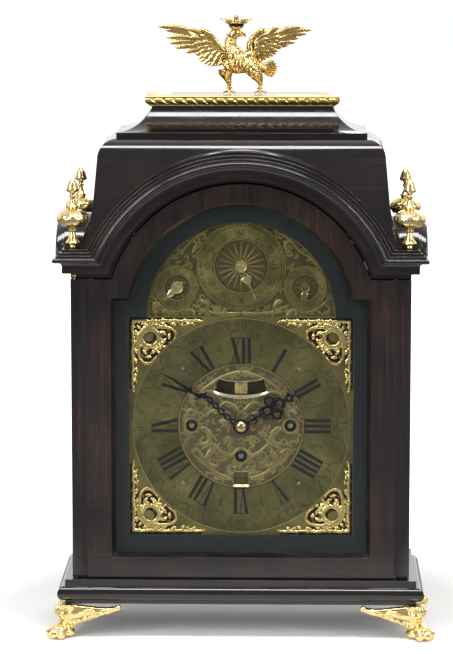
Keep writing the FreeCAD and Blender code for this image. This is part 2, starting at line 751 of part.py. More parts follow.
def dial_mask():
    """The dark board that frames the dial, held between the two side boards."""
    y0 = dial_face_y - mask
    width = case_half_width - board
    slab = Part.Face(break_arch(y0, width, floor_z, shoulder_z, arch_z, door_arch_radius - 1))
    slab = slab.extrude(V(0, mask, 0))
    return slab.cut(Part.Face(dial_outline(y0, -0.6)).extrude(V(0, mask, 0)))


def winding_places():
    return ((-winding_out, dial_centre_height), (0, dial_centre_height - winding_drop),
            (winding_out, dial_centre_height))


def mock_slot(y0, y1):
    """The curved opening that shows the mock bob."""
    low = mock_length + 8.2
    high = mock_length - 8.2
    angles = (180 - mock_half_angle, 180, 180 + mock_half_angle)
    a, b, c = (clock_point(0, verge_z, low, t) for t in angles)
    d, e, f = (clock_point(0, verge_z, high, t) for t in reversed(angles))
    return face_along(at_y(y0), a, (b, c), d, (e, f)).extrude(V(0, y1 - y0, 0))


def sub_dials():
    """Centre, ring sizes, hand length and hand angle of the three small dials."""
    return (("upper", 0, upper_ring_z, upper_ring_radius, upper_ring_inner,
             upper_hand_length, upper_hand_angle),
            ("left", -side_ring_out, side_ring_z, side_ring_radius, side_ring_inner,
             side_hand_length, left_hand_angle),
            ("right", side_ring_out, side_ring_z, side_ring_radius, side_ring_inner,
             side_hand_length, right_hand_angle))


def dial_plate_piece():
    plate = Part.Face(dial_outline(dial_face_y, 0)).extrude(V(0, dial_plate, 0))
    holes = [rod_y(0, dial_centre_height, hour_pipe + 0.6, dial_face_y, dial_back_y)]
    holes += [rod_y(x, z, winding_hole, dial_face_y, dial_back_y) for x, z in winding_places()]
    holes += [rod_y(x, z, small_arbor + shaft_fit, dial_face_y, dial_back_y)
              for name, x, z, outer, inner, length, angle in sub_dials()]
    holes.append(mock_slot(dial_face_y, dial_back_y))
    date_z = dial_centre_height - date_drop
    holes.append(box(-date_half_width, date_half_width, dial_face_y, dial_back_y,
                     date_z - date_half_height, date_z + date_half_height))
    for hole in holes:
        plate = plate.cut(hole)
    return plate


def pin_places():
    return [clock_point(0, dial_centre_height, pin_circle, 45 + 90 * k) for k in range(4)]


def chapter_ring():
    ring = tube_y(0, dial_centre_height, chapter_outer, chapter_inner, ring_face_y, dial_face_y)
    for x, z in pin_places():
        ring = ring.cut(rod_y(x, z, pin_radius, ring_face_y, dial_face_y))
    return ring


def chapter_ring_pins():
    return group([rod_y(x, z, pin_radius, ring_face_y - 0.5, dial_face_y) for x, z in pin_places()])


def subdial_rings():
    return group([tube_y(x, z, outer, inner, ring_face_y, dial_face_y)
                  for name, x, z, outer, inner, length, angle in sub_dials()])


def spandrel():
    """One pierced corner mount, lower right: two scrolled arms from a shell in the corner."""
    x = dial_half_width - dial_edge
    z = dial_bottom + dial_edge
    ring = chapter_outer + 1.0
    rise = half_height(ring, x - spandrel_leg)
    run = half_height(ring, dial_centre_height - z - spandrel_leg)
    turn = clock_point(0, dial_centre_height, ring, 135)
    y0 = dial_face_y - spandrel_plate
    face = face_along(at_y(y0), (x, z), (x, z + spandrel_leg), (run, z + spandrel_leg),
                      (turn, (x - spandrel_leg, dial_centre_height - rise)), (x - spandrel_leg, z))
    plate = face.extrude(V(0, spandrel_plate, 0))
    for out, up, radius in ((22, 9, 4.5), (9, 22, 4.5), (38, 6, 2.6), (6, 38, 2.6)):
        plate = plate.cut(rod_y(x - out, z + up, radius, y0, dial_face_y))
    return plate


def spandrels():
    low = spandrel()
    middle = V(0, 0, (dial_bottom + dial_shoulder) / 2)
    high = low.mirror(middle, V(0, 0, 1))
    keep = rod_y(0, dial_centre_height, chapter_outer + 0.4, -FAR, FAR)
    corners = [low, flip_x(low), high, flip_x(high)]
    return group([corner.cut(keep) for corner in corners])


def small_hand(x, z, length, angle):
    """A brass hand and the arbor that carries it through the dial."""
    y0 = ring_face_y - 1.8
    y1 = y0 + hand_plate
    blade = face_along(lambda a, b: V(x + a, y0, z + b), (-1.5, 0), (-0.5, length * 0.55),
                       (-2.2, length * 0.72), (0, length), (2.2, length * 0.72), (0.5, length * 0.55),
                       (1.5, 0)).extrude(V(0, hand_plate, 0))
    tail = rod_y(x, z - 5.0, 1.6, y0, y1)
    hand = blade.fuse([tail, rod_y(x, z - 2.5, 1.2, y0, y1), rod_y(x, z, 3.0, y0 - 0.8, y1),
                       rod_y(x, z, small_arbor, y1, dial_back_y + 3)])
    hand = hand.fuse(rod_y(x, z, 3.0, dial_back_y + 0.2, dial_back_y + 3))
    hand.rotate(V(x, 0, z), V(0, 1, 0), angle)
    return hand


def pierced_hand(length, y0, hub, hole, rings, angle):
    """A sawn hand: a hub, a chain of open scrolls and a leaf point, turned to its hour."""
    y1 = y0 + hand_plate
    z = dial_centre_height
    parts = [rod_y(0, z, hub, y0, y1)]
    for out, side, radius, wall in rings:
        parts.append(tube_y(side, z + out, radius, radius - wall, y0, y1))
    last = rings[-1][0]
    parts.append(face_along(at_y(y0), (-1.3, z + hub - 1), (-0.9, z + last), (-2.0, z + last + 5),
                            (0, z + length), (2.0, z + last + 5), (0.9, z + last),
                            (1.3, z + hub - 1)).extrude(V(0, hand_plate, 0)))
    hand = parts[0].multiFuse(parts[1:])
    hand = hand.cut(rod_y(0, z, hole, y0, y1))
    hand.rotate(V(0, 0, z), V(0, 1, 0), angle)
    return hand


def hour_hand():
    scrolls = ((12, -5.2, 4.6, 1.5), (12, 5.2, 4.6, 1.5), (21, -6.2, 6.2, 1.7), (21, 6.2, 6.2, 1.7),
               (31, -4.0, 4.2, 1.5), (31, 4.0, 4.2, 1.5))
    return pierced_hand(hour_hand_length, hour_hand_y, 6.5, hour_pipe, scrolls, hour_hand_angle)


def minute_hand():
    scrolls = ((11, -3.4, 3.4, 1.2), (11, 3.4, 3.4, 1.2), (20, 3.0, 3.8, 1.2), (29, -2.8, 3.6, 1.2),
               (38, 2.4, 3.2, 1.1), (46, -1.8, 2.8, 1.0))
    return pierced_hand(minute_hand_length, minute_hand_y, 5.2, cannon_pipe, scrolls, minute_hand_angle)


def hand_collet():
    bore = arbor_radius + shaft_fit
    face = face_along(lambda r, y: V(r, y, dial_centre_height), (bore, minute_hand_y),
                      (4.7, minute_hand_y), ((3.9, minute_hand_y - 1.6), (bore, collet_y)))
    return face.revolve(V(0, 0, dial_centre_height), V(0, 1, 0), 360)


# ------------------------------------------------------------------ movement
def toothed(x, z, teeth, module, thickness, y0, share, point_to, on_tooth=True):
    """A wheel or pinion with pointed clock teeth. A tooth, or else a gap, points at an angle."""
    pitch = 360.0 / teeth
    radius = teeth * module / 2
    root = radius - 1.25 * module
    tip = radius + 0.95 * module
    half = pitch * share / 2
    points = []
    for k in range(teeth):
        middle = point_to + pitch * (k + (0 if on_tooth else 0.5))
        for r, side in ((root, -half), (radius, -half), (tip, -half * 0.35), (tip, half * 0.35),
                        (radius, half), (root, half)):
            points.append(clock_point(x, z, r, middle + side))
    return face_along(at_y(y0), *points).extrude(V(0, thickness, 0))


def crossings(x, z, outer, inner, spokes, y0, y1):
    """What is sawn out of a wheel to leave its spokes."""
    ring = tube_y(x, z, outer, inner, y0, y1)
    for k in range(spokes):
        spoke = box(x - 1.2, x + 1.2, y0, y1, z, z + 2 * outer)
        spoke.rotate(V(x, 0, z), V(0, 1, 0), 360.0 * k / spokes + 30)
        ring = ring.cut(spoke)
    return ring


def movement_plate_piece(y0, rear):
    plate = box(-plate_half_width, plate_half_width, y0, y0 + movement_plate, plate_foot, plate_top)
    y1 = y0 + movement_plate
    holes = [(x, z, (barrel_pivot if rear else barrel_arbor) + shaft_fit) for x, z in winding_places()]
    holes += [(0, dial_centre_height, arbor_radius + shaft_fit),
              (0, contrate_z, arbor_radius + shaft_fit), (0, verge_z, verge_radius + shaft_fit)]
    holes += [(x, z, arbor_radius + shaft_fit) for x, z in hammer_pivots()]
    if not rear:
        holes.append((motion_distance, dial_centre_height, arbor_radius + shaft_fit))
        holes.append((0, date_centre_z, arbor_radius + shaft_fit))
    for x, z, radius in holes:
        plate = plate.cut(rod_y(x, z, radius, y0, y1))
    return plate


def hammer_pivots():
    z = plate_top - hammer_drop
    return (-(small_bell_radius + hammer_out), z), (bell_radius + hammer_out, z)


def pillars_and_cocks():
    """Five turned pillars, and the two cocks that hold the crown wheel's upright arbor."""
    out = plate_half_width - 2 * pillar_radius
    low = plate_foot + 2 * pillar_radius
    middle = plate_top - upper_pillar_drop
    parts = [rod_y(x, z, pillar_radius, front_plate_back, back_plate_y)
             for x, z in ((-out, low), (out, low), (-out, middle), (out, middle), (0, low))]
    for z0, z1, half in ((contrate_z + 7.0, contrate_z + 9.5, 3.0), (verge_z - 5.2, verge_z - 3.0, 1.2)):
        arm = box(-half, half, crown_y - 2.4, back_plate_y, z0, z1)
        parts.append(arm.cut(rod_z(0, crown_y, 0.8 + shaft_fit, z0, z1)))
    return group(parts)


def seat_board():
    return box(board - case_half_width, case_half_width - board, front_plate_y, back_plate_back,
               seat_z, plate_foot)


def barrel(x, z, teeth, module, on_tooth_to):
    """A mainspring barrel on its winding arbor, with its great wheel and a square for the key."""
    wheel = toothed(x, z, teeth, module, wheel_thickness, great_wheel_y, 0.46, on_tooth_to)
    drum = rod_y(x, z, barrel_radius, great_wheel_y + wheel_thickness, drum_end)
    arbor = rod_y(x, z, barrel_arbor, front_plate_y - 8.0, great_wheel_y)
    pivot = rod_y(x, z, barrel_pivot, drum_end, back_plate_back)
    side = barrel_arbor / math.sqrt(2)
    square = box(x - side, x + side, dial_face_y - 0.6, front_plate_y - 8.0, z - side, z + side)
    return wheel.multiFuse([drum, arbor, pivot, square])


def barrels():
    left, low, right = winding_places()
    return {"going_barrel": barrel(*low, barrel_teeth, barrel_module, 0),
            "strike_barrel": barrel(*left, side_barrel_teeth, side_barrel_module, 0),
            "quarter_barrel": barrel(*right, side_barrel_teeth, side_barrel_module, 0)}


def centre_wheel():
    """The arbor that turns once an hour, with its pinion and wheel."""
    z = dial_centre_height
    arbor = rod_y(0, z, arbor_radius, collet_y - 1.2, back_plate_back)
    pinion = toothed(0, z, centre_pinion_teeth, barrel_module, 4.0, great_wheel_y - 1.0, 0.36, 180, False)
    wheel = toothed(0, z, centre_teeth, train_module, wheel_thickness, centre_wheel_y, 0.46, 0)
    wheel = wheel.cut(crossings(0, z, 19.0, 6.0, 4, centre_wheel_y, centre_wheel_y + wheel_thickness))
    return arbor.multiFuse([pinion, wheel])


def cannon_pinion():
    z = dial_centre_height
    pipe = rod_y(0, z, cannon_pipe, minute_hand_y, front_plate_y - 1.0)
    pinion = toothed(0, z, cannon_teeth, cannon_module, 4.0, minute_wheel_y - 1.0, 0.38, 90, False)
    return pipe.fuse(pinion).cut(rod_y(0, z, arbor_radius + shaft_fit, -FAR, FAR))


def hour_wheel():
    z = dial_centre_height
    wheel = toothed(0, z, hour_teeth, hour_module, wheel_thickness, hour_wheel_y, 0.46, 90)
    pipe = rod_y(0, z, hour_pipe, hour_hand_y, hour_wheel_y + wheel_thickness)
    return wheel.fuse(pipe).cut(rod_y(0, z, cannon_pipe + shaft_fit, -FAR, FAR))


def minute_wheel():
    x = motion_distance
    z = dial_centre_height
    y0 = hour_wheel_y - 0.8
    wheel = toothed(x, z, minute_teeth, cannon_module, wheel_thickness, minute_wheel_y, 0.46, -90)
    pinion = toothed(x, z, minute_pinion_teeth, hour_module, 3.5, y0, 0.36, -90, False)
    arbor = rod_y(x, z, arbor_radius, y0, front_plate_back)
    return arbor.multiFuse([wheel, pinion])


def contrate_wheel():
    """The wheel whose teeth stand forward from its rim and turn the upright arbor."""
    tip = crown_y - crown_pinion_radius + 0.8 * contrate_module
    root = tip - 2.2 * contrate_module
    rim = tube_y(0, contrate_z, contrate_radius + 2, contrate_radius - 2, root - 2.6, root)
    web = rod_y(0, contrate_z, contrate_radius + 2, root - 2.6, root - 1.2)
    web = web.cut(crossings(0, contrate_z, contrate_radius - 2, 4.0, 4, root - 2.6, root - 1.2))
    parts = [rim, web, rod_y(0, contrate_z, arbor_radius, front_plate_y, back_plate_back)]
    width = 0.36 * contrate_module * math.pi / 2
    for k in range(contrate_teeth):
        tooth = box(-width, width, root, tip, contrate_z + contrate_radius - 2,
                    contrate_z + contrate_radius + 2)
        tooth.rotate(V(0, 0, contrate_z), V(0, 1, 0), 360.0 * (k + 0.5) / contrate_teeth)
        parts.append(tooth)
    parts.append(toothed(0, contrate_z, contrate_pinion_teeth, train_module, 5.0, centre_wheel_y - 1.5,
                         0.34, 180, False))
    return parts[0].multiFuse(parts[1:])


def crown_wheel():
    """The upright escape wheel: saw teeth pointing up at the verge, and a pinion at its foot."""
    base = verge_z - 14.0
    tooth_foot = base + 3.6
    tip = verge_z - pallet_length - 0.9
    rim = Part.makeCylinder(crown_radius, tooth_foot - base, V(0, crown_y, base))
    rim = rim.cut(Part.makeCylinder(crown_radius - 1.2, tooth_foot - base - 1.2, V(0, crown_y, base + 1.2)))
    parts = [rim, rod_z(0, crown_y, 1.6, contrate_z + 10.0, tooth_foot),
             rod_z(0, crown_y, 0.8, contrate_z + 7.0, verge_z - 3.4)]
    ring = Part.makeCylinder(crown_radius, tip - tooth_foot, V(0, crown_y, tooth_foot))
    ring = ring.cut(Part.makeCylinder(crown_radius - 1.2, tip - tooth_foot, V(0, crown_y, tooth_foot)))
    width = 2 * math.pi * crown_radius / crown_teeth
    saw = face_along(lambda x, z: V(x, crown_y + crown_radius - 3, z), (-width / 2, tooth_foot),
                     (-width / 2 + 0.6, tip), (width / 2 - 0.4, tooth_foot)).extrude(V(0, 5, 0))
    for k in range(crown_teeth):
        tooth = saw.copy()
        tooth.rotate(V(0, crown_y, 0), V(0, 0, 1), 360.0 * k / crown_teeth)
        parts.append(tooth.common(ring))
    pinion = toothed(0, 0, crown_pinion_teeth, contrate_module, 5.0, 0, 0.34, 180)
    pinion.rotate(V(0, 0, 0), V(1, 0, 0), 90)
    pinion.translate(V(0, crown_y, contrate_z + contrate_radius - 2.5))
    parts.append(pinion)
    return parts[0].multiFuse(parts[1:])


def verge():
    """The staff that carries the pendulum behind and the mock bob in front, with two pallets."""
    staff = rod_y(0, verge_z, verge_radius, dial_back_y + 0.6, back_plate_back + 10.5)
    parts = [staff]
    for y, side in ((crown_y - crown_radius + 0.6, -1), (crown_y + crown_radius - 0.6, 1)):
        blade = box(-0.4, 0.4, y - 1.6, y + 1.6, verge_z - pallet_length, verge_z)
        blade.rotate(V(0, 0, verge_z), V(0, 1, 0), side * pallet_angle)
        parts.append(blade)
    return parts[0].multiFuse(parts[1:])


def pendulum_rod():
    bottom = verge_z - pendulum_length + bob_radius
    hub = tube_y(0, verge_z, 3.6, verge_radius, pendulum_y - 2, pendulum_y + 2)
    stem = rod_z(0, pendulum_y, 1.2, bottom, verge_z - 2.2)
    return hub.fuse(stem.cut(rod_y(0, verge_z, verge_radius, -FAR, FAR)))


def pendulum_bob():
    z = verge_z - pendulum_length
    half = bob_thickness / 2
    lens = face_along(lambda r, y: V(r, pendulum_y + y, z), (0, -half), ((bob_radius * 0.62, -half * 0.72),
                      (bob_radius, -0.6)), (bob_radius, 0.6), ((bob_radius * 0.62, half * 0.72), (0, half)))
    lens = lens.revolve(V(0, 0, z), V(0, 1, 0), 360)
    return lens.cut(rod_z(0, pendulum_y, 1.2, z + bob_radius - 0.05, FAR))


def mock_bob():
    z = verge_z - mock_length
    y0 = dial_back_y + 0.7
    disc = rod_y(0, z, mock_radius, y0, y0 + 1.2)
    stem = box(-0.6, 0.6, y0, y0 + 1.2, z + mock_radius - 0.5, verge_z - 1.0)
    hub = rod_y(0, verge_z, 3.0, y0, y0 + 1.2)
    return fuse([disc, stem, hub]).cut(rod_y(0, verge_z, verge_radius, y0, y0 + 1.2))


def bell_cup(radius, rim_z):
    """A shallow bell, mouth down."""
    height = radius * 0.62
    inner = radius - bell_wall
    face = face_along(lambda r, z: V(r, bells_y, z), (inner, rim_z), (radius, rim_z),
                      ((radius * 0.86, rim_z + height * 0.62), (4.0, rim_z + height)), (2.5, rim_z + height),
                      (2.5, rim_z + height - bell_wall),
                      (4.0, rim_z + height - bell_wall), ((inner * 0.84, rim_z + height * 0.56),
                      (inner, rim_z)))
    return face.revolve(V(0, bells_y, 0), V(0, 0, 1), 360)


def bells():
    """Two bells on one post, which stands on a bar screwed to the back plate."""
    small_top = small_bell_rim_z + small_bell_radius * 0.62
    top = bell_rim_z + bell_radius * 0.62
    bar = box(-4, 4, bells_y - 4, back_plate_back, plate_top, plate_top + 3)
    post = [rod_z(0, bells_y, 2.5, plate_top + 3, top + 4),
            rod_z(0, bells_y, 4, plate_top + 3, small_top - bell_wall),
            rod_z(0, bells_y, 4, small_top, top - bell_wall),
            rod_z(0, bells_y, 4, top, top + 3)]
    return group([bar.multiFuse(post), bell_cup(bell_radius, bell_rim_z),
                  bell_cup(small_bell_radius, small_bell_rim_z)])


def left_hammer(rim_radius, rim_z):
    """An arbor between the plates with an arm and a head that rests just off its bell."""
    x, z = -(rim_radius + hammer_out), plate_top - hammer_drop
    arbor = rod_y(x, z, arbor_radius, front_plate_y, back_plate_back)
    head = V(-(rim_radius + hammer_gap + hammer_head), bells_y, rim_z + 2.0)
    arm = rod_between(V(x, bells_y, z), head, 1.4)
    hub = rod_y(x, z, 3.2, bells_y - 3, bells_y + 3)
    return arbor.fuse(hub).fuse(arm).fuse(ball(head.x, head.y, head.z, hammer_head))


def date_disc():
    y0 = dial_back_y + 0.6
    disc = rod_y(0, date_centre_z, date_disc_radius, y0, y0 + 1.2)
    return disc.fuse(rod_y(0, date_centre_z, arbor_radius, y0, front_plate_back))


# ------------------------------------------------------------------ the whole clock
def main():
    os.makedirs("parts", exist_ok=True)
    foot = paw_foot()
    save("foot_front_right", foot)
    save("foot_front_left", flip_x(foot))
    save("foot_rear_right", flip_y(foot))
    save("foot_rear_left", flip_x(flip_y(foot)))
    save("base_board", base_board())
    save("base_moulding", base_moulding())
    right = side_board()
    save("side_right", right)
    save("side_left", flip_x(right))
    save("side_glass", side_glass())
    save("arch_board", arch_board())
    save("cornice_front", cornice_front())
    save("cornice_sides", cornice_sides())
    save("bell_top", bell_top())
    save("bell_cap", bell_cap())
    save("gilt_rim", gilt_rim())
    out = case_half_width - finial_inset
    front = face_y + finial_front_inset
    rear = back_y - finial_rear_inset
    for name, x, y in (("front_left", -out, front), ("front_right", out, front),
                       ("rear_left", -out, rear), ("rear_right", out, rear)):
        save("finial_" + name, finial_at(x, y))
    save("eagle_body", eagle_body())
    save("eagle_wings", eagle_wings())
    save("front_door_frame", front_door_frame())
    save("front_door_glass", front_door_glass())
    save("door_pivots", door_pivots())
    save("back_door_frame", back_door_frame())
    save("back_door_glass", back_door_glass())
    save("back_door_knob", back_door_knob())
    save("dial_mask", dial_mask())
    save("dial_plate", dial_plate_piece())
    save("chapter_ring", chapter_ring())
    save("chapter_ring_pins", chapter_ring_pins())
    save("subdial_rings", subdial_rings())
    save("spandrels", spandrels())
    for name, x, z, outer, inner, length, angle in sub_dials():
        save(name + "_dial_hand", small_hand(x, z, length, angle))
    save("hour_hand", hour_hand())
    save("minute_hand", minute_hand())
    save("hand_collet", hand_collet())
    save("front_plate", movement_plate_piece(front_plate_y, False))
    save("back_plate", movement_plate_piece(back_plate_y, True))
    save("pillars_and_cocks", pillars_and_cocks())
    save("seat_board", seat_board())
    for name, shape in barrels().items():
        save(name, shape)
    save("centre_wheel", centre_wheel())
    save("cannon_pinion", cannon_pinion())
    save("hour_wheel", hour_wheel())
    save("minute_wheel", minute_wheel())
    save("contrate_wheel", contrate_wheel())
    save("crown_wheel", crown_wheel())
    save("verge", verge())
    save("pendulum_rod", pendulum_rod())
    save("pendulum_bob", pendulum_bob())
    save("mock_bob", mock_bob())
    save("bells", bells())
    save("quarter_hammer", left_hammer(small_bell_radius, small_bell_rim_z))
    save("strike_hammer", flip_x(left_hammer(bell_radius, bell_rim_z)))
    save("date_disc", date_disc())


main()
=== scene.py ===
# A break-arch bracket clock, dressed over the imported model. Metres, in the clock's own frame: +X to
# the viewer's right, +Y from the dial to the back, +Z up, origin on the table under its middle.
import bmesh
import bpy
import math
import numpy as np
from mathutils import Matrix, Vector
from mathutils.bvhtree import BVHTree


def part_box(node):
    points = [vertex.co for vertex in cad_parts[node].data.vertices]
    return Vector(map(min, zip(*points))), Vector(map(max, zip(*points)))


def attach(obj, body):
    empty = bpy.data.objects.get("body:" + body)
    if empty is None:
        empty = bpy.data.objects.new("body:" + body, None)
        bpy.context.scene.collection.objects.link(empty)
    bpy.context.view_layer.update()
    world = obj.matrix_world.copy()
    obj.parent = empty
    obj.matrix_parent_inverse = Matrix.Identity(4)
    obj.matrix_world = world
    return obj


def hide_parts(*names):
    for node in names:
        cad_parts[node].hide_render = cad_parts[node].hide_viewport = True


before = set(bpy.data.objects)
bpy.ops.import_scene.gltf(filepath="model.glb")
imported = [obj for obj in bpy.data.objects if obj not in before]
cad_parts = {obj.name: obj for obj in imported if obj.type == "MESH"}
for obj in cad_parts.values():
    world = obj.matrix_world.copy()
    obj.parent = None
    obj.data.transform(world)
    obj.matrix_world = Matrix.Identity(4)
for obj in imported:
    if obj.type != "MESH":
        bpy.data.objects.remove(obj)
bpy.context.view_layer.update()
mm = 0.001


# ---------------------------------------------------------------- table, lamps and camera
# A plain pale table top that runs on out of sight, two tall narrow lamps in front, a long one
# overhead and one behind, and a long lens a little above the clock, right of its middle. The table
# glows for the camera as painted light, faintly near the clock and fully further out, and is
# painted dark where the polished case reflects it close by.
def thing(name, points, faces, smooth=True):
    """A mesh object from points in millimetres."""
    mesh = bpy.data.meshes.new(name)
    mesh.from_pydata((np.asarray(points, float) * mm).tolist(), [], faces)
    mesh.update()
    if smooth:
        mesh.shade_smooth()
    made = bpy.data.objects.new(name, mesh)
    bpy.context.scene.collection.objects.link(made)
    return made


def node(tree, kind, sockets=(), **settings):
    """A shader node. A socket gets a value, or a link if it is given another node's output."""
    made = tree.nodes.new("ShaderNode" + kind)
    for name, value in settings.items():
        setattr(made, name, value)
    for name, value in dict(sockets).items():
        if isinstance(value, bpy.types.NodeSocket):
            tree.links.new(value, made.inputs[name])
        else:
            made.inputs[name].default_value = value
    return made


def calc(tree, operation, *values):
    """The result of one sum on plain values or on other nodes' outputs."""
    return node(tree, "Math", dict(enumerate(values)), operation=operation).outputs[0]


def ranged(tree, value, low, high, first=0.0, last=1.0):
    """A value with its span from low to high stretched to run from first to last."""
    return node(tree, "MapRange", {0: value, 1: low, 2: high, 3: first, 4: last}).outputs[0]


def mixed(tree, share, first, second):
    """A colour between two others."""
    return node(tree, "Mix", {0: share, 6: first, 7: second}, data_type="RGBA").outputs[2]


def noise(tree, scale, detail, where=None, **more):
    """Noise laid over a piece's own space, or over a place of its own."""
    if where is None:
        where = node(tree, "TexCoord").outputs["Object"]
    return node(tree, "TexNoise", {0: where, "Scale": scale, "Detail": detail, **more}).outputs[0]


def bumped(tree, height, strength, distance, **more):
    """A normal that follows a height."""
    sockets = {"Height": height, "Strength": strength, "Distance": distance, **more}
    return node(tree, "Bump", sockets).outputs[0]


def wire(tree, inputs, **outputs):
    """Links each output to the input of its name."""
    for label, output in outputs.items():
        tree.links.new(output, inputs[label.replace("_", " ")])


def finish(name, **constants):
    """A new material with its tree and its shader, whose plain values are set on the shader."""
    made = bpy.data.materials.new(name)
    made.use_nodes = True
    shader = made.node_tree.nodes["Principled BSDF"]
    for label, value in constants.items():
        shader.inputs[label.replace("_", " ").title().replace("Ior", "IOR")].default_value = value
    return made, made.node_tree, shader


table = thing("table_top", [(-9000, -6000, 0), (9000, -6000, 0), (9000, 9000, 0), (-9000, 9000, 0)],
              [(0, 1, 2, 3)], smooth=False)
pale, tree, shader = finish("pale_table", Roughness=0.9, Emission_Color=(1, 1, 1, 1))
seen = node(tree, "LightPath").outputs
place = node(tree, "TexCoord").outputs["Object"]
spread = node(tree, "VectorMath", {0: place}, operation="LENGTH").outputs["Value"]
# Painted light: the table glows for camera rays, faintly near the clock where its shadow falls, fully further
# out.
glow = calc(tree, "MULTIPLY", seen["Is Camera Ray"], ranged(tree, spread, 0.22, 0.55, 0.1, 1.0))
# Painted reflection: near the clock the table turns dark in glossy rays, so the case reflects it dimly.
mirrored = calc(tree, "MULTIPLY", seen["Is Glossy Ray"], ranged(tree, spread, 0.2, 0.42))
tone = mixed(tree, mirrored, (0.86, 0.86, 0.86, 1), (0.2, 0.2, 0.2, 1))
wire(tree, shader.inputs, Emission_Strength=glow, Base_Color=tone)
table.data.materials.append(pale)

world = bpy.data.worlds.new("studio")
world.use_nodes = True
bpy.context.scene.world = world
tree = world.node_tree
seen = node(tree, "LightPath").outputs
toward = node(tree, "SeparateXYZ", {0: node(tree, "TexCoord").outputs["Generated"]}).outputs["Y"]
metal = calc(tree, "MULTIPLY", seen["Is Glossy Ray"], ranged(tree, toward, -0.25, 0.35, 0.2, 1.0))
clear = calc(tree, "MAXIMUM", seen["Is Camera Ray"], seen["Is Transmission Ray"])
dimmest = 0.3
level = calc(tree, "MAXIMUM", calc(tree, "MAXIMUM", metal, clear), dimmest)
backdrop = tree.nodes["Background"]
backdrop.inputs["Color"].default_value = (1, 1, 1, 1)
wire(tree, backdrop.inputs, Strength=level)

lit_point = Vector((0, 0, 0.25))
for name, place, size, power in (
        ("lamp_left", (-1.5, -1.7, 1.35), (0.3, 1.3), 28),
        ("lamp_right", (1.7, -1.3, 1.2), (0.22, 1.3), 18),
        ("lamp_above", (0.0, -0.55, 1.8), (1.5, 0.35), 26),
        ("lamp_behind", (0.6, 1.9, 1.3), (1.2, 0.9), 14)):
    lamp = bpy.data.lights.new(name, "AREA")
    lamp.shape = "RECTANGLE"
    lamp.size, lamp.size_y = size
    lamp.energy = power
    made = bpy.data.objects.new(name, lamp)
    made.location = place
    made.rotation_euler = (lit_point - Vector(place)).to_track_quat("-Z", "Y").to_euler()
    bpy.context.scene.collection.objects.link(made)

camera_place = (0.047, -2.56, 0.6415)
looks_down, looks_left = 8.476, 1.35
lens = bpy.data.cameras.new("camera")
lens.sensor_fit = "VERTICAL"
lens.sensor_height = 36
lens.lens = 165
camera = bpy.data.objects.new("camera", lens)
camera.location = camera_place
camera.rotation_euler = (math.radians(90 - looks_down), 0, math.radians(looks_left))
bpy.context.scene.collection.objects.link(camera)
bpy.context.scene.camera = camera
bpy.context.scene.view_settings.view_transform = "Standard"


# ---------------------------------------------------------------- the case
# Boards and mouldings of pearwood, stained nearly black over a red-brown ground and French
# polished. The flat faces are veneered and show a little of the grain; the mouldings are blacker.
def effect(name, ins, outs):
    """An empty shader group with named inputs and outputs."""
    group = bpy.data.node_groups.new(name, "ShaderNodeTree")
    for label, kind, value in ins:
        socket = group.interface.new_socket(label, in_out="INPUT", socket_type="NodeSocket" + kind)
        socket.default_value = value
    for label, kind in outs:
        group.interface.new_socket(label, in_out="OUTPUT", socket_type="NodeSocket" + kind)
    return group, group.nodes.new("NodeGroupInput").outputs, group.nodes.new("NodeGroupOutput").inputs


def fill(tree, group, sockets):
    """The outputs of an effect at work in a tree."""
    return node(tree, "Group", sockets, node_tree=group).outputs


surface = [("Color", "Color"), ("Roughness", "Float"), ("Height", "Float")]
grain, taken, given = effect(
    "wood_grain",
    [("Stain", "Color", (0.006, 0.005, 0.006, 1)), ("Ground", "Color", (0.05, 0.018, 0.014, 1)),
     ("Level", "Float", 0.0), ("Figure", "Float", 1.0)], surface)
where = node(grain, "TexCoord").outputs["Object"]
upright = node(grain, "Mapping", {0: where, "Scale": (1, 1, 0.045)}).outputs[0]
across = node(grain, "Mapping", {0: where, "Scale": (0.045, 1, 1)}).outputs[0]
run = node(grain, "Mix", {0: taken["Level"], 4: upright, 5: across}, data_type="VECTOR").outputs[1]
streak = noise(grain, 420, 7, run, Roughness=0.62, Distortion=0.25)
amount = ranged(grain, calc(grain, "MULTIPLY", streak, noise(grain, 16, 3)), 0.16, 0.42)
shown = calc(grain, "MULTIPLY", amount, taken["Figure"])
wire(grain, given, Color=mixed(grain, shown, taken["Stain"], taken["Ground"]),
     Roughness=ranged(grain, noise(grain, 60, 2), 0.3, 0.7, 0.1, 0.24), Height=streak)

edges, taken, given = effect("rubbed_edge_and_sheen", [("Radius", "Float", 0.0006)],
                             [("Mask", "Float"), ("Normal", "Vector")])
rounded = node(edges, "Bevel", {"Radius": taken["Radius"]}, samples=4).outputs[0]
straight = node(edges, "NewGeometry").outputs["True Normal"]
agrees = node(edges, "VectorMath", {0: rounded, 1: straight}, operation="DOT_PRODUCT").outputs["Value"]
wire(edges, given, Mask=ranged(edges, agrees, 0.995, 0.9), Normal=rounded)


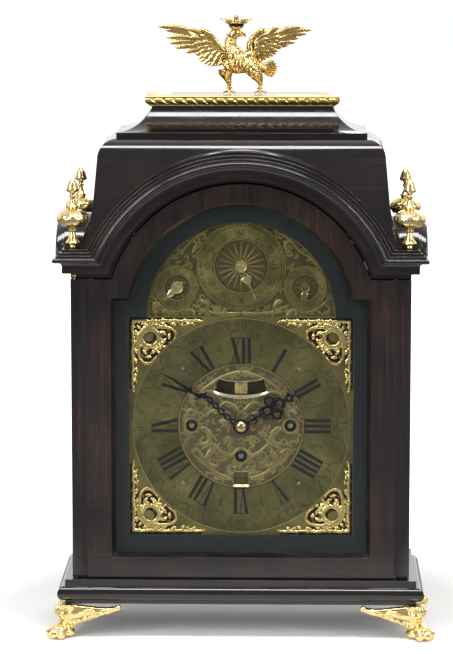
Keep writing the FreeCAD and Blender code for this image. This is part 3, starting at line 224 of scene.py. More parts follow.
def polished_wood(name, ground, level=0.0, mitre=None, figure=1.0):
    """Stained and polished wood. The grain stands up, lies level, or turns at a frame's mitres."""
    made, tree, shader = finish(name, Coat_Weight=0.85, Coat_Roughness=0.06, Specular_IOR_Level=0.3)
    if mitre:
        here = node(tree, "SeparateXYZ", {0: node(tree, "TexCoord").outputs["Object"]}).outputs
        reach = calc(tree, "ADD", calc(tree, "ABSOLUTE", here["X"]), here["Z"])
        level = calc(tree, "LESS_THAN", reach, mitre)
    face = node(tree, "SeparateXYZ", {0: node(tree, "NewGeometry").outputs["True Normal"]}).outputs
    most = calc(tree, "MAXIMUM", calc(tree, "ABSOLUTE", face["Y"]), calc(tree, "ABSOLUTE", face["X"]))
    veneer = ranged(tree, most, 0.985, 0.999, 0.25 * figure, figure)
    wood = fill(tree, grain, {"Ground": ground, "Level": level, "Figure": veneer})
    edge = fill(tree, edges, {"Radius": 0.0007})
    # The edges are painted lighter: partly rubbed polish, partly a painted highlight along them.
    rub_and_sheen = calc(tree, "MULTIPLY", edge["Mask"], 0.35)
    wire(tree, shader.inputs, Base_Color=mixed(tree, rub_and_sheen, wood["Color"], (0.07, 0.045, 0.036, 1)),
         Roughness=wood["Roughness"], Coat_Normal=edge["Normal"],
         Normal=bumped(tree, wood["Height"], 0.05, 0.0002, Normal=edge["Normal"]))
    return made


def dress(material, *names):
    """Gives carried-over pieces of the model their material."""
    for name in names:
        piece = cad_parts[name]
        for place in piece.material_slots:
            place.material = material


red_ground = (0.037, 0.019, 0.016, 1)
dark_ground = (0.026, 0.016, 0.014, 1)
door_low, door_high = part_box("front_door_frame")
dress(polished_wood("upright_veneer", red_ground), "side_left", "side_right", "back_door_frame")
dress(polished_wood("mitred_veneer", red_ground, mitre=door_low.z + door_high.x), "front_door_frame")
dress(polished_wood("level_moulding", dark_ground, 1.0), "base_board", "base_moulding", "cornice_front",
      "cornice_sides", "arch_board")
dress(polished_wood("bell_veneer", dark_ground, 1.0, figure=0.9), "bell_top", "bell_cap")

oak, tree, shader = finish("oiled_oak", Roughness=0.5)
wood = fill(tree, grain, {"Stain": (0.12, 0.06, 0.025, 1), "Ground": (0.36, 0.22, 0.1, 1), "Level": 1.0})
wire(tree, shader.inputs, Base_Color=wood["Color"], Normal=bumped(tree, wood["Height"], 0.3, 0.0004))
dress(oak, "seat_board")

painted, tree, shader = finish("mask_paint", Specular_IOR_Level=0.3)
wood = fill(tree, grain, {"Stain": (0.009, 0.012, 0.015, 1), "Ground": (0.016, 0.021, 0.025, 1)})
wire(tree, shader.inputs, Base_Color=wood["Color"], Normal=bumped(tree, wood["Height"], 0.08, 0.0002),
     Roughness=ranged(tree, wood["Roughness"], 0.1, 0.24, 0.38, 0.55))
dress(painted, "dial_mask")


# ---------------------------------------------------------------- the glasses
# Thin old window glass in the two doors and the two sides, held in rebates. It is clear with a
# faint ripple, and lets the lamps through onto the dial and the movement.
glass, tree, shader = finish("old_glass", Base_Color=(0.97, 0.99, 0.98, 1), IOR=1.45, Roughness=0.0,
                             Specular_IOR_Level=0.06, Transmission_Weight=1.0)
seen = node(tree, "LightPath").outputs
dim = calc(tree, "MAXIMUM", seen["Is Shadow Ray"], seen["Is Diffuse Ray"])
later = calc(tree, "MAXIMUM", dim, seen["Is Glossy Ray"])
through = node(tree, "BsdfTransparent", {0: (0.96, 0.98, 0.97, 1)}).outputs[0]
both = node(tree, "MixShader", {0: later, 1: shader.outputs[0], 2: through}).outputs[0]
wire(tree, shader.inputs, Normal=bumped(tree, noise(tree, 9, 1), 0.02, 0.001))
wire(tree, tree.nodes["Material Output"].inputs, Surface=both)
dress(glass, "front_door_glass", "back_door_glass", "side_glass")


# ---------------------------------------------------------------- gilt mounts: how they are finished
# Every gilt mount is cast brass, chased and fire gilt. The gilding is bright and pale on what stands
# up, and brown in what lies deep, which each mesh notes for itself: partly old dirt, and partly painted
# shade in the hollows.
gilding, taken, given = effect(
    "gilding",
    [("Bright", "Color", (0.92, 0.66, 0.24, 1)), ("Worn", "Color", (0.6, 0.36, 0.1, 1)),
     ("Dirt_and_shade", "Color", (0.09, 0.04, 0.012, 1)), ("Depth", "Float", 1.0), ("Gloss", "Float", 0.22)],
    surface)
deep = node(gilding, "Attribute", attribute_name="recess").outputs["Fac"]
held = ranged(gilding, calc(gilding, "MULTIPLY", deep, taken["Depth"]), 0.3, 0.95)
thin = ranged(gilding, noise(gilding, 140, 4), 0.42, 0.7, 0.0, 0.75)
grit = noise(gilding, 900, 3)
metal = mixed(gilding, thin, taken["Bright"], taken["Worn"])
dull = calc(gilding, "MULTIPLY_ADD", held, 0.35, taken["Gloss"])
# Dark in the hollows: old dirt and painted shade.
wire(gilding, given, Color=mixed(gilding, held, metal, taken["Dirt_and_shade"]), Height=grit,
     Roughness=calc(gilding, "MULTIPLY_ADD", grit, 0.12, dull))


def gilt(name, bright, worn, dirt_and_shade, depth, gloss):
    """Gilding in three colours. Depth is how far the dirt and painted shade reach up out of the hollows."""
    made, tree, shader = finish(name, Metallic=1.0)
    gold = fill(tree, gilding, {"Bright": bright, "Worn": worn, "Dirt_and_shade": dirt_and_shade, "Depth": depth, "Gloss": gloss})
    wire(tree, shader.inputs, Base_Color=gold["Color"], Roughness=gold["Roughness"],
         Normal=bumped(tree, gold["Height"], 0.15, 0.0002))
    return made


mount_gilt = gilt("mount_gilt", (1.0, 0.8, 0.38, 1), (0.9, 0.63, 0.23, 1), (0.12, 0.055, 0.016, 1), 1.3, 0.16)
plain_gilt = gilt("plain_gilt", (0.85, 0.62, 0.22, 1), (0.6, 0.4, 0.12, 1), (0.1, 0.05, 0.015, 1), 1.0, 0.2)
dress(plain_gilt, "door_pivots", "back_door_knob")


def read_field(items, field, width, kind=float):
    """One field of all of a mesh's items, as rows."""
    made = np.empty(len(items) * width, kind)
    items.foreach_get(field, made)
    return made.reshape(-1, width)


def note_recesses(piece, reach=3, gain=6.0):
    """Stores how deep each point lies among its neighbours, from 0 on top to 1 in a hollow."""
    mesh = piece.data
    shell = bmesh.new()
    shell.from_mesh(mesh)
    bmesh.ops.recalc_face_normals(shell, faces=shell.faces)
    shell.to_mesh(mesh)
    shell.free()
    count = len(mesh.vertices)
    at = read_field(mesh.vertices, "co", 3)
    out = read_field(mesh.vertices, "normal", 3)
    a, b = read_field(mesh.edges, "vertices", 2, int).T
    near = np.maximum(np.bincount(a, minlength=count) + np.bincount(b, minlength=count), 1)

    def around(values):
        """The mean of what stands at each point's neighbours."""
        return np.stack([(np.bincount(a, v[b], count) + np.bincount(b, v[a], count)) / near
                         for v in values.T], axis=1)

    smooth = at
    for step in range(reach):
        smooth = around(smooth)
    size = np.linalg.norm(at[a] - at[b], axis=1).mean()
    deep = ((smooth - at) * out).sum(axis=1) / (size * reach) * gain
    deep = around(deep[:, None])[:, 0]
    noted = mesh.attributes.new("recess", "FLOAT", "POINT")
    noted.data.foreach_set("value", np.clip(deep, 0, 1).astype(np.float32))


def join(sets):
    """One list of points and one of faces from several."""
    points = []
    faces = []
    for some, them in sets:
        faces += [tuple(k + len(points) for k in face) for face in them]
        points += [tuple(p) for p in some]
    return points, faces


def lofted(rings):
    """Points and faces of rings of equal count joined one to the next, closed at both ends."""
    around = len(rings[0])
    points = [tuple(p) for ring in rings for p in ring]
    faces = []
    for k in range(len(rings) - 1):
        for j in range(around):
            n = (j + 1) % around
            faces.append((k * around + j, k * around + n, (k + 1) * around + n, (k + 1) * around + j))
    faces.append(tuple(range(around - 1, -1, -1)))
    faces.append(tuple(range((len(rings) - 1) * around, len(rings) * around)))
    return points, faces


def circled(count):
    """The angles of equal steps once round."""
    return [2 * math.pi * j / count for j in range(count)]


def lifted(up):
    """A step straight up."""
    return Vector((0, 0, up))


def corners(name):
    """The lowest and the highest corner of one of the model's pieces, in millimetres."""
    return [Vector(corner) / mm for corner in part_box(name)]


def rod(path, widths, sides=10):
    """A rounded bar along a path with a width at each point."""
    path = [Vector(p) for p in path]
    rings = []
    for k, p in enumerate(path):
        ahead = (path[min(k + 1, len(path) - 1)] - path[max(k - 1, 0)]).normalized()
        side = lifted(1) if abs(ahead.z) < 0.9 else Vector((1, 0, 0))
        across = ahead.cross(side).normalized()
        up = across.cross(ahead).normalized()
        rings.append([p + (across * math.cos(t) + up * math.sin(t)) * widths[k] for t in circled(sides)])
    return lofted(rings)


def smooth_path(points, steps=6):
    """More points on a smooth line through the given ones."""
    points = np.asarray(points, float)
    padded = np.vstack([2 * points[0] - points[1], points, 2 * points[-1] - points[-2]])
    made = []
    for k in range(1, len(padded) - 2):
        a, b, c, d = padded[k - 1:k + 3]
        for t in np.linspace(0, 1, steps, endpoint=False):
            made.append(0.5 * (2 * b + (c - a) * t + (2 * a - 5 * b + 4 * c - d) * t * t
                               + (3 * b - a - 3 * c + d) * t ** 3))
    made.append(points[-1])
    return np.array(made)


# ---------------------------------------------------------------- finials
# Four cast and turned urns on the corners: a ball stem, a flared foot, a bulb chased with a belt of
# overlapping leaves, a collar, a thin ringed neck and a bud.
def turned(outline, place, around=96, relief=None, steps=5):
    """A turned body from (radius, height) points, with the chasing that relief adds."""
    rings = []
    for radius, height in smooth_path(outline, steps):
        ring = []
        for turn in circled(around):
            r = max(radius, 0.02) + (relief(turn, height) if relief else 0.0)
            ring.append((place[0] + r * math.cos(turn), place[1] + r * math.sin(turn), place[2] + height))
        rings.append(ring)
    return lofted(rings)


belt_foot, belt_head = 17.5, 32.0
belt_leaves = 8


def leaf_belt(turn, height):
    """Two rows of pointed leaves round the bulb, as a height over its surface."""
    if not belt_foot < height < belt_head:
        return 0.0
    up = (height - belt_foot) / (belt_head - belt_foot)
    raised = 0.0
    for row, first in ((0, 0.0), (1, 0.5)):
        across = abs(((turn / (2 * math.pi) * belt_leaves + first) % 1.0) - 0.5) * 2
        low, high = (0.0, 0.62) if row == 0 else (0.3, 1.0)
        if not low <= up <= high:
            continue
        along = (up - low) / (high - low)
        half = 0.98 * math.sqrt(max(0.0, 1 - along ** 2.2)) if row == 0 else 0.98 * (1 - along ** 3)
        if across < half:
            edge = min(1.0, (half - across) * 4)
            rib = 0.35 * max(0.0, 1 - across * 7)
            raised = max(raised, edge * (0.75 - 0.3 * row) + rib)
    return raised * 1.1 - 0.45


foot_and_stem = [(0.1, 0), (1.9, 0.1), (2.4, 1.6), (1.7, 3.6), (1.6, 4.3), (5.7, 4.5), (6.0, 5.3), (5.2, 6.4),
                 (3.6, 9.0), (2.7, 12.2), (2.4, 14.4), (3.4, 15.0), (3.3, 15.9), (2.6, 16.3)]
bulb = [(5.0, 17.0), (9.6, 19.2), (12.3, 22.3), (13.0, 25.4), (12.2, 28.6), (9.4, 31.6), (6.2, 32.9)]
collar_and_neck = [(4.3, 33.4), (4.2, 34.4), (4.9, 35.0), (4.8, 35.9), (4.0, 36.6), (2.9, 38.2), (2.0, 40.4),
                   (1.8, 42.6), (2.7, 43.4), (2.7, 44.5), (1.9, 45.2), (2.3, 46.8)]
bud = [(4.6, 48.2), (5.4, 49.4), (5.3, 50.6), (4.7, 52.0), (4.2, 54.0), (3.4, 56.0), (2.3, 57.4), (1.9, 58.3),
       (1.2, 58.9), (0.05, 59.0)]
urn = foot_and_stem + bulb + collar_and_neck + bud
for name in ("front_left", "front_right", "rear_left", "rear_right"):
    low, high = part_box("finial_" + name)
    place = ((low[0] + high[0]) / 2 / mm, (low[1] + high[1]) / 2 / mm, low[2] / mm)
    finial = thing("chased_finial_" + name, *turned(urn, place, relief=leaf_belt))
    note_recesses(finial, 4, 5.0)
    finial.data.materials.append(mount_gilt)
    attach(finial, "case")
    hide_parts("finial_" + name)


# ---------------------------------------------------------------- gilt rim
# A cast strip round the front and ends of the lid, mitred at the corners: slanted gadroons with a
# pearl between each pair, a thin fillet under them and a flange that lies over the lid's edge.
low, high = corners("gilt_rim")
rim_out = 5.7
flange_in = -16.0
rim_tall = high.z - low.z
run = [(low.x + rim_out, high.y), (low.x + rim_out, low.y + rim_out), (high.x - rim_out, low.y + rim_out),
       (high.x - rim_out, high.y)]
gadroon = 8.3
rim_step = 0.4


def rim_strip(start, end, open_start, open_end):
    """One side of the rim. Its section leans over the run, and its ends are cut at the mitre."""
    start, end = Vector((*start, 0)), Vector((*end, 0))
    along = (end - start).normalized()
    out = Vector((along.y, -along.x, 0))
    length = (end - start).length
    count = int(length / rim_step)
    section = [(0.0, 0.0), (0.8, 0.0), (1.7, 0.2), (2.0, 0.7), (1.5, 1.0)]
    section += [(1.4 + 4.2 * math.sin(math.pi * (0.05 + 0.62 * k / 12)) ** 0.8, 1.1 + 5.9 * k / 12)
                for k in range(1, 13)]
    section += [(4.4, 7.2), (5.0, 7.4), (5.5, 7.9), (5.6, 8.3), (5.2, rim_tall), (0.0, rim_tall + 0.05),
                (flange_in, rim_tall + 0.05), (flange_in, rim_tall), (-0.1, rim_tall)]
    rings = []
    for k in range(count + 1):
        ring = []
        for number, (p, z) in enumerate(section):
            lobe = 0.0
            if 4 < number < 17:
                phase = (k * length / count) / gadroon + (z - 3.9) * 0.1
                wave = abs((phase % 1.0) - 0.5) * 2
                lobe = -4.0 * max(0.0, wave - 0.5) ** 0.8 + 1.3 * max(0.0, 1 - ((wave - 1.0) / 0.2) ** 2)
            q = p if p < 0 else max(0.0, p + lobe)
            first = -q if open_start else 0.0
            last = length + q if open_end else length
            s = first + (last - first) * k / count
            ring.append(start + along * s + out * q + lifted(low.z + z))
        rings.append(ring)
    return lofted(rings)


rim = thing("gadrooned_rim", *join([rim_strip(run[k], run[k + 1], k > 0, k < 2) for k in range(3)]))
note_recesses(rim, 3, 5.0)
rim_gilt = gilt("rim_gilt", (0.95, 0.72, 0.28, 1), (0.8, 0.52, 0.16, 1), (0.07, 0.03, 0.01, 1), 1.6, 0.18)
rim.data.materials.append(rim_gilt)
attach(rim, "case")
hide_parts("gilt_rim")


# ---------------------------------------------------------------- paw feet
# A cast lion's paw under each corner. Its toes fan out over the corner, its leg rises to a scrolled
# knee, and a ribbed leaf runs out along both sides of the plinth and ends in a small ball.
def egg(centre, size, turn=0.0, rings=14, around=20):
    """An egg shape, turned about the Y axis through its own middle."""
    made = []
    spin = Matrix.Rotation(math.radians(turn), 3, "Y")
    for k in range(rings + 1):
        tilt = math.pi * (k + 0.02) / (rings + 0.04)
        wide, deep, tall = size[0] * math.sin(tilt), size[1] * math.sin(tilt), -size[2] * math.cos(tilt)
        made.append([Vector(centre) + spin @ Vector((wide * math.cos(t), deep * math.sin(t), tall))
                     for t in circled(around)])
    return lofted(made)


def melted(name, shapes, grain_size, rounds):
    """Shapes run together into one casting with one smooth skin."""
    piece = thing(name, *join(shapes))
    skin = piece.modifiers.new("skin", "REMESH")
    skin.mode = "VOXEL"
    skin.voxel_size = grain_size * mm
    ease = piece.modifiers.new("ease", "SMOOTH")
    ease.factor = 0.5
    ease.iterations = rounds
    made = bpy.data.meshes.new_from_object(piece.evaluated_get(bpy.context.evaluated_depsgraph_get()))
    piece.modifiers.clear()
    piece.data = made
    made.name = name
    made.shade_smooth()
    return piece


foot_low, foot_high = corners("foot_front_right")
corner = Vector((foot_high.x - 9.5, foot_low.y + 9.5, 0))
foot_tall = foot_high.z


def on_wing(x, z, out, flip):
    """A point of a wing: x runs back from the corner, out stands off the wing's face."""
    inner = Vector((-5.2 - x, 5.2 - out, z))
    return corner + (Vector((-inner.y, -inner.x, z)) if flip else inner)


foot_parts = []
paw = corner + Vector((-5, 5, 0))
for turn, reach in ((-81, 10.6), (-45, 11.2), (-9, 10.6)):
    ahead = Vector((math.cos(math.radians(turn)), math.sin(math.radians(turn)), 0))
    knuckle = paw + ahead * (reach - 3.5) + lifted(6.8)
    pad = paw + ahead * reach + lifted(4.4)
    claw = pad + ahead * 2.4
    foot_parts += [
        rod([paw + lifted(12), knuckle, pad], [3.6, 4.4, 3.4], 14),
        egg(knuckle, (4.3, 4.3, 4.4)), egg(pad, (3.9, 3.9, 4.0)),
        rod([claw + lifted(1.6), claw + ahead * 1.5 + lifted(0.2),
             claw + ahead * 1.6 + lifted(-3.0)], [1.7, 1.3, 0.5], 10)]
foot_parts.append(egg(paw + Vector((-2, 2, 4.6)), (8.6, 8.6, 4.6)))
leg = [paw + Vector((-back, back, up)) for back, up in
       ((1.5, 7), (3.4, 12), (3.0, 17), (0.5, 22), (1.5, 27), (4, foot_tall))]
foot_parts.append(rod(leg, [7.0, 6.2, 6.8, 8.0, 8.2, 8.0], 18))
for k in range(3):
    ridge = [p + Vector((0.72, -0.72, 0)) * (5.9 + 0.7 * (2 < n < 5)) + Vector((k - 1, k - 1, 0)) * 2.6
             for n, p in enumerate(leg[1:])]
    foot_parts.append(rod(smooth_path(ridge, 3), [1.3] * 13, 8))
wing_foot = ((4, 9), (9, 10.2), (15, 12.2), (22, 14.4), (30, 17.4), (38, 21.0), (44, 24.6))
wing_head = ((2, 28), (9, 28.6), (15, 28.4), (22, 27.6), (30, 26.6), (38, 26.4), (44, 27.4))
wing_thick = 3.6
tail = [(36, 22.0), (42, 24.0), (46.5, 26.2), (48.0, 28.4), (46.4, 29.2)]
scroll = [(14, 20.5), (19, 22.6), (23.5, 23.4), (26.0, 21.6), (24.5, 19.4), (22, 20.0)]
lobes = ((8, 9.5), (13, 12.2), (18, 14.4), (23, 16.0), (28, 17.6), (33, 19.6))
for flip in (False, True):
    rings = []
    for (x0, z0), (x1, z1) in zip(smooth_path(wing_foot, 4), smooth_path(wing_head, 4)):
        ring = []
        for t in circled(18):
            in_front = t < math.pi - 0.01
            share = (1 - math.cos(t)) / 2
            ribs = 0.5 * math.cos(share * 22) if 0 < t and in_front else 0.0
            out = (wing_thick + ribs) * math.sin(t) * (1 if in_front else 0.5)
            ring.append(on_wing(x0 + (x1 - x0) * share, z0 + (z1 - z0) * share, out, flip))
        rings.append(ring)
    foot_parts += [
        lofted(rings),
        rod([on_wing(x, min(z, foot_tall - 1.9), 1.2, flip) for x, z in smooth_path(tail, 4)],
            np.linspace(2.6, 1.6, 17), 12),
        egg(on_wing(46.6, foot_tall - 2.9, 1.6, flip), (3.0, 3.0, 2.8)),
        rod([on_wing(x, z, 3.5, flip) for x, z in smooth_path(scroll, 4)], [1.15] * 21, 8)]
    for x, z in lobes:
        foot_parts.append(rod([on_wing(x + 3.5, z + 5.5, 2.2, flip), on_wing(x + 1.2, z + 2.2, 2.6, flip),
                               on_wing(x, z, 1.6, flip)], [1.2, 1.8, 1.0], 8))

paw_foot = melted("paw_foot", foot_parts, 0.55, 3)
flat = read_field(paw_foot.data.vertices, "co", 3)
flat[:, 2] = np.clip(flat[:, 2], 0.0, foot_tall * mm)
flat[:, 0] = np.minimum(flat[:, 0], foot_high.x * mm)
flat[:, 1] = np.maximum(flat[:, 1], foot_low.y * mm)
paw_foot.data.vertices.foreach_set("co", flat.ravel())
note_recesses(paw_foot, 4, 4.0)
paw_foot.data.materials.append(mount_gilt)
for name, across, back in (("front_right", 1, 1), ("front_left", -1, 1), ("rear_right", 1, -1),
                           ("rear_left", -1, -1)):
    foot = bpy.data.objects.new("cast_foot_" + name, paw_foot.data.copy())
    foot.data.transform(Matrix.Diagonal((across, back, 1, 1)))
    if across * back < 0:
        foot.data.flip_normals()
    bpy.context.scene.collection.objects.link(foot)
    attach(foot, "case")
    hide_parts("foot_" + name)
bpy.data.objects.remove(paw_foot)


# ---------------------------------------------------------------- the eagle
# A cast and chased eagle that stands on the lid with spread wings, looks to the viewer's right and
# wears an open crown of five points. The wings and the crown are cast apart and pinned on.
low, high = corners("eagle_body")
bird_foot = low.z
bird_tall = high.z - low.z
bird_back = (low.y + high.y) / 2 + 1.5


def bird(across, up, back=0.0):
    """A place on the bird in hundredths of its height, from the middle of the lid."""
    return Vector((across * bird_tall / 100, bird_back + back * bird_tall / 100,
                   bird_foot + up * bird_tall / 100))


def bird_size(*sizes):
    """Sizes on the bird in hundredths of its height."""
    return [size * bird_tall / 100 for size in sizes]


def lump(place, sizes, turn):
    """A rounded mass of the body."""
    return egg(bird(*place), bird_size(*sizes), turn)


def limb(places, steps, shares, widths, sides):
    """A rounded bar on a smooth line through places, with its widths at shares of its length."""
    line = smooth_path([bird(*place) for place in places], steps)
    return rod(line, np.interp(np.linspace(0, 1, len(line)), shares, bird_size(*widths)), sides)


neck = limb([(-12, 50), (-15, 58), (-15.5, 66), (-12.5, 73), (-8, 77)], 4, [0, 0.35, 0.7, 1],
            (9.5, 6.6, 6.0, 5.6), 16)
upper_beak = limb([(-6, 76.5), (-1, 76), (2.0, 73.8), (2.4, 70.6)], 3, [0, 0.5, 1], (3.4, 2.6, 0.9), 10)
lower_beak = rod([bird(-6, 73.4), bird(-1.5, 72.8), bird(0.3, 71.8)], bird_size(2.2, 1.6, 0.8), 8)
thighs = [limb([(-16, 38, -5), (-22, 30, -6), (-20, 22, -4), (-17, 13, -3)], 3, [0, 0.4, 0.75, 1],
               (9, 9.5, 5.5, 3), 14),
          limb([(6, 38, -3), (13, 30, -5), (19, 21, -4), (22, 13, -3)], 3, [0, 0.4, 0.75, 1],
               (10, 10, 6, 3), 14)]
rump = rod([bird(14, 34), bird(24, 33), bird(30, 31)], bird_size(8, 6.5, 4), 14)
shapes = [lump((-6, 40), (16, 12, 15), -38), lump((6, 37), (18, 11.5, 12), 12),
          lump((-12, 48), (11, 10.5, 13), 10), lump((6, 47), (12, 9, 8), -20), neck,
          lump((-9.5, 76), (7.0, 6.0, 6.2), 12), upper_beak, lower_beak,
          lump((-18.5, 73.5), (3.0, 2.2, 2.0), 40), *thighs, rump]
for ankle in (-17, 22):
    shapes.append(rod([bird(ankle, up, -3) for up in (14, 8, 5)], bird_size(3.0, 2.5, 3.4), 12))
    for turn in (-50, 0, 50, 180):
        ahead = Vector((math.sin(math.radians(turn)), -math.cos(math.radians(turn)), 0))
        toe = [bird(ankle, 5, -3) + ahead * s + lifted(z) for s, z in
               ((0, 0.5), (2.4, 0.6), (4.2, -0.9), (5.6, -1.1), (6.5, -2.9))]
        shapes.append(rod(toe, (1.9, 1.7, 1.7, 1.3, 0.5), 10))
eagle = melted("cast_eagle", shapes, 0.5, 4)


def feather(root, tip, width, face, bend=0.0, thick=0.5, blunt=0.55):
    """A feather: flat, with a raised quill and a rounded end, bent sideways by a share."""
    root, tip, face = Vector(root), Vector(tip), Vector(face).normalized()
    along = tip - root
    side = along.normalized().cross(face).normalized()
    rings = []
    for t in (0.0, 0.08, 0.2, 0.36, 0.52, 0.68, 0.8, 0.9, 0.96, 1.0):
        middle = root + along * t + side * (bend * along.length * math.sin(math.pi * t))
        half = width * (0.45 + 0.55 * min(1, t / 0.4)) * (1 - max(0, (t - blunt) / (1 - blunt)) ** 2.4) ** 0.5
        half = max(half, 0.06)
        cut = ((-1, 0.1), (-0.75, 0.75), (-0.22, 0.62), (0, 1.5), (0.22, 0.62), (0.75, 0.75), (1, 0.1),
               (0.7, -0.6), (0, -0.9), (-0.7, -0.6))
        rings.append([middle + side * (a * half) + face * (b * thick) for a, b in cut])
    return lofted(rings)


body_tree = BVHTree.FromObject(eagle, bpy.context.evaluated_depsgraph_get())
straight_down = lifted(-1)
plumes = []
neck_rows, neck_feathers = 13, 22
for row in range(neck_rows):
    up = 69 - row * 3.4
    middle = bird(np.interp(up, [26, 40, 50, 60, 70], [-2, -2, -8, -15, -14]), up)
    for step in range(neck_feathers):
        turn = 2 * math.pi * (step + 0.5 * (row % 2)) / neck_feathers
        ahead = Vector((math.sin(turn), -math.cos(turn), 0.0))
        hit, out = body_tree.ray_cast((middle + ahead * 30) * mm, -ahead)[:2]
        if hit is None or (hit / mm - middle).length > 16:
            continue
        down = (straight_down - out * out.dot(straight_down)).normalized()
        start = hit / mm - down * 0.9
        plumes.append(feather(start + out * 0.05, start + down * 2.9 + out * 0.55, 1.15, out, thick=0.22))

front = Vector((0, -1, 0.1))
left_wing = (
    [((-52, 74), (-106, 84)), ((-52, 70), (-97, 79.5)), ((-50, 67), (-96, 70)), ((-50, 63), (-92, 63)),
     ((-46, 59), (-86, 57)), ((-44, 55), (-72, 51.5)), ((-40, 52), (-60, 49))],
    [((-36, 52), (-57, 43)), ((-34, 50), (-54.5, 39.5)), ((-32, 48), (-50, 36)), ((-30, 46), (-45.5, 34.4)),
     ((-28, 44), (-40.5, 34)), ((-25, 43), (-36, 34)), ((-22, 42), (-31.5, 35)), ((-20, 42), (-28, 37))],
    [((-44, 70), (-70, 81)), ((-44, 66), (-67, 70)), ((-42, 62), (-62, 62)), ((-39, 59), (-58, 56)),
     ((-36, 57), (-55, 51)), ((-33, 54), (-50, 45)), ((-30, 52), (-44, 41)), ((-26, 50), (-37, 39))],
    [((-36, 68), (-53, 81)), ((-35, 65), (-54, 73)), ((-34, 62), (-51, 65)), ((-32, 59), (-48, 59)),
     ((-30, 57), (-45, 54)), ((-28, 54), (-40, 49)), ((-25, 52), (-34, 45)), ((-22, 50), (-29, 43))],
    [(-24, 52), (-31, 60), (-35, 66), (-38, 71), (-44, 76), (-52, 80.5)])
right_wing = (
    [((40, 74), (72, 84)), ((40, 71), (86.5, 80.4)), ((42, 68), (80, 75.5)), ((42, 66), (70, 70)),
     ((40, 62), (65, 64.5)), ((38, 60), (56, 60.5)), ((36, 58), (48, 58))],
    [((28, 56), (44.5, 53)), ((26, 54), (42, 49.8)), ((24, 52), (38.5, 47)), ((21, 50), (34, 45)),
     ((18, 48), (29.5, 42.6)), ((16, 46), (25.5, 41)), ((14, 45), (22, 40.5))],
    [((28, 72), (44.5, 83)), ((28, 69), (46, 77)), ((27, 66), (46, 71)), ((26, 63), (44, 66)),
     ((25, 60), (42, 61)), ((22, 57), (38, 57)), ((19, 54), (33, 53)), ((16, 51), (28, 49))],
    [((14, 68), (27, 82.5)), ((15, 65), (31, 75)), ((15, 62), (31, 69)), ((14, 59), (29, 64)),
     ((14, 56), (27, 59)), ((13, 53), (24, 54)), ((12, 50), (20, 50))],
    [(10, 49), (8.5, 56), (8.5, 62), (11, 68.5), (17, 75), (25, 80.5)])
for side, (primaries, fringe, middle_row, short_row, brow) in ((-1, left_wing), (1, right_wing)):
    for row, width, lift, back, bend, thick in (
            (primaries, 2.5, 0.0, 2.0, -0.05, 0.62), (fringe, 1.9, 0.0, 1.2, -0.05, 0.5),
            (middle_row, 2.2, -1.0, 0.4, -0.06, 0.5), (short_row, 2.2, -2.0, -0.4, -0.06, 0.5)):
        for k, (root, tip) in enumerate(row):
            depth = back + 0.25 * (k % 2)
            plumes.append(feather(bird(*root, depth + lift), bird(*tip, depth + lift * 0.4), width, front,
                                  bend * side, thick))
    line = smooth_path([bird(a, b, -1.5) for a, b in brow], 4)
    plumes.append(rod(line, np.interp(np.linspace(0, 1, len(line)), [0, 0.45, 1], [3.2, 2.6, 1.4]), 12))
    outline = [bird(*brow[0], 1.6)] + [bird(*place, 1.9) for place in brow[1:]]
    outline += [bird(*tip, 2.2) for root, tip in middle_row] + [bird(*fringe[-1][0], 1.6)]
    middle = sum(outline, Vector()) / len(outline)
    backing = ((0.05, -0.9), (0.96, -0.7), (1.0, 0.0), (0.96, 0.7), (0.05, 0.9))
    plumes.append(lofted([[middle + (p - middle) * share + Vector((0, depth, 0)) for p in outline]
                          for share, depth in backing]))
for k in range(7):
    turn = math.radians(-38 + k * 11.5)
    root = bird(21, 34, 0.8 - 0.3 * k)
    reach = 1 - 0.02 * abs(k - 3)
    tip = root + Vector((math.cos(turn) * 15.6 * reach, 0.6, math.sin(turn) * 13.5 * reach - 1))
    plumes.append(feather(root, tip, 2.1, front, 0.05, 0.55, 0.75))
for lean, shift, thigh in ((0.1, 0.3, [(-14, 30), (-17, 29), (-20, 29), (-23, 31)]),
                           (0.25, 0.9, [(8, 31), (12, 29), (16, 28), (19, 27)])):
    for across, up in thigh:
        for row in range(4):
            ahead_of_it = bird(across + row * shift, up - row * 3.4, -40)
            hit, out = body_tree.ray_cast(ahead_of_it * mm, Vector((0, 1, 0)))[:2]
            if hit is not None:
                down = (Vector((lean, 0, -1)) - out * out.dot(straight_down)).normalized()
                start = hit / mm
                plumes.append(feather(start, start + down * 3.2 + out * 0.5, 1.15, out, thick=0.22))

crown_foot = bird(-8.5, 82.5)
crown_wider = 1.22


def on_crown(ahead, out, up):
    """A place on the crown from the middle of its foot."""
    return crown_foot + ahead * out + lifted(up)


band = [(4.6, 0.0), (5.1, 0.2), (5.2, 0.9), (4.9, 1.2), (5.6, 3.0), (6.6, 4.4), (6.9, 4.6), (6.4, 5.0),
        (5.6, 4.2), (4.6, 1.6), (3.9, 0.6), (4.6, 0.0)]
crown = [turned(band, crown_foot, 40, None, 1)]
for k in range(5):
    turn, between = math.radians(72 * k + 90), math.radians(72 * k + 126)
    ahead = Vector((math.cos(turn), math.sin(turn) * 0.9, 0))
    tall = 1.15 if k == 0 else 1.0
    stem = smooth_path([on_crown(ahead, r, z * tall) for r, z in
                        ((6.2, 4.0), (7.4, 5.8), (9.4, 7.0), (11.6, 7.6))], 3)
    crown.append(rod(stem, np.linspace(1.5, 0.5, len(stem)), 8))
    crown.append(egg(on_crown(ahead, 7.6, 7.0), (1.2, 1.2, 1.5)))
    ahead = Vector((math.cos(between), math.sin(between) * 0.9, 0))
    crown.append(egg(on_crown(ahead, 6.5, 5.7), (1.0, 1.0, 1.2)))
crown.append(rod([crown_foot + lifted(z) for z in (2.0, 6.0, 8.6, 9.4, 11.0)],
                 (2.4, 2.2, 1.3, 1.9, 0.4), 10))
crown.append(egg(crown_foot + lifted(0.4), (4.4, 4.4, 2.2)))
crown_points, crown_faces = join(crown)
offsets = [Vector(p) - crown_foot for p in crown_points]
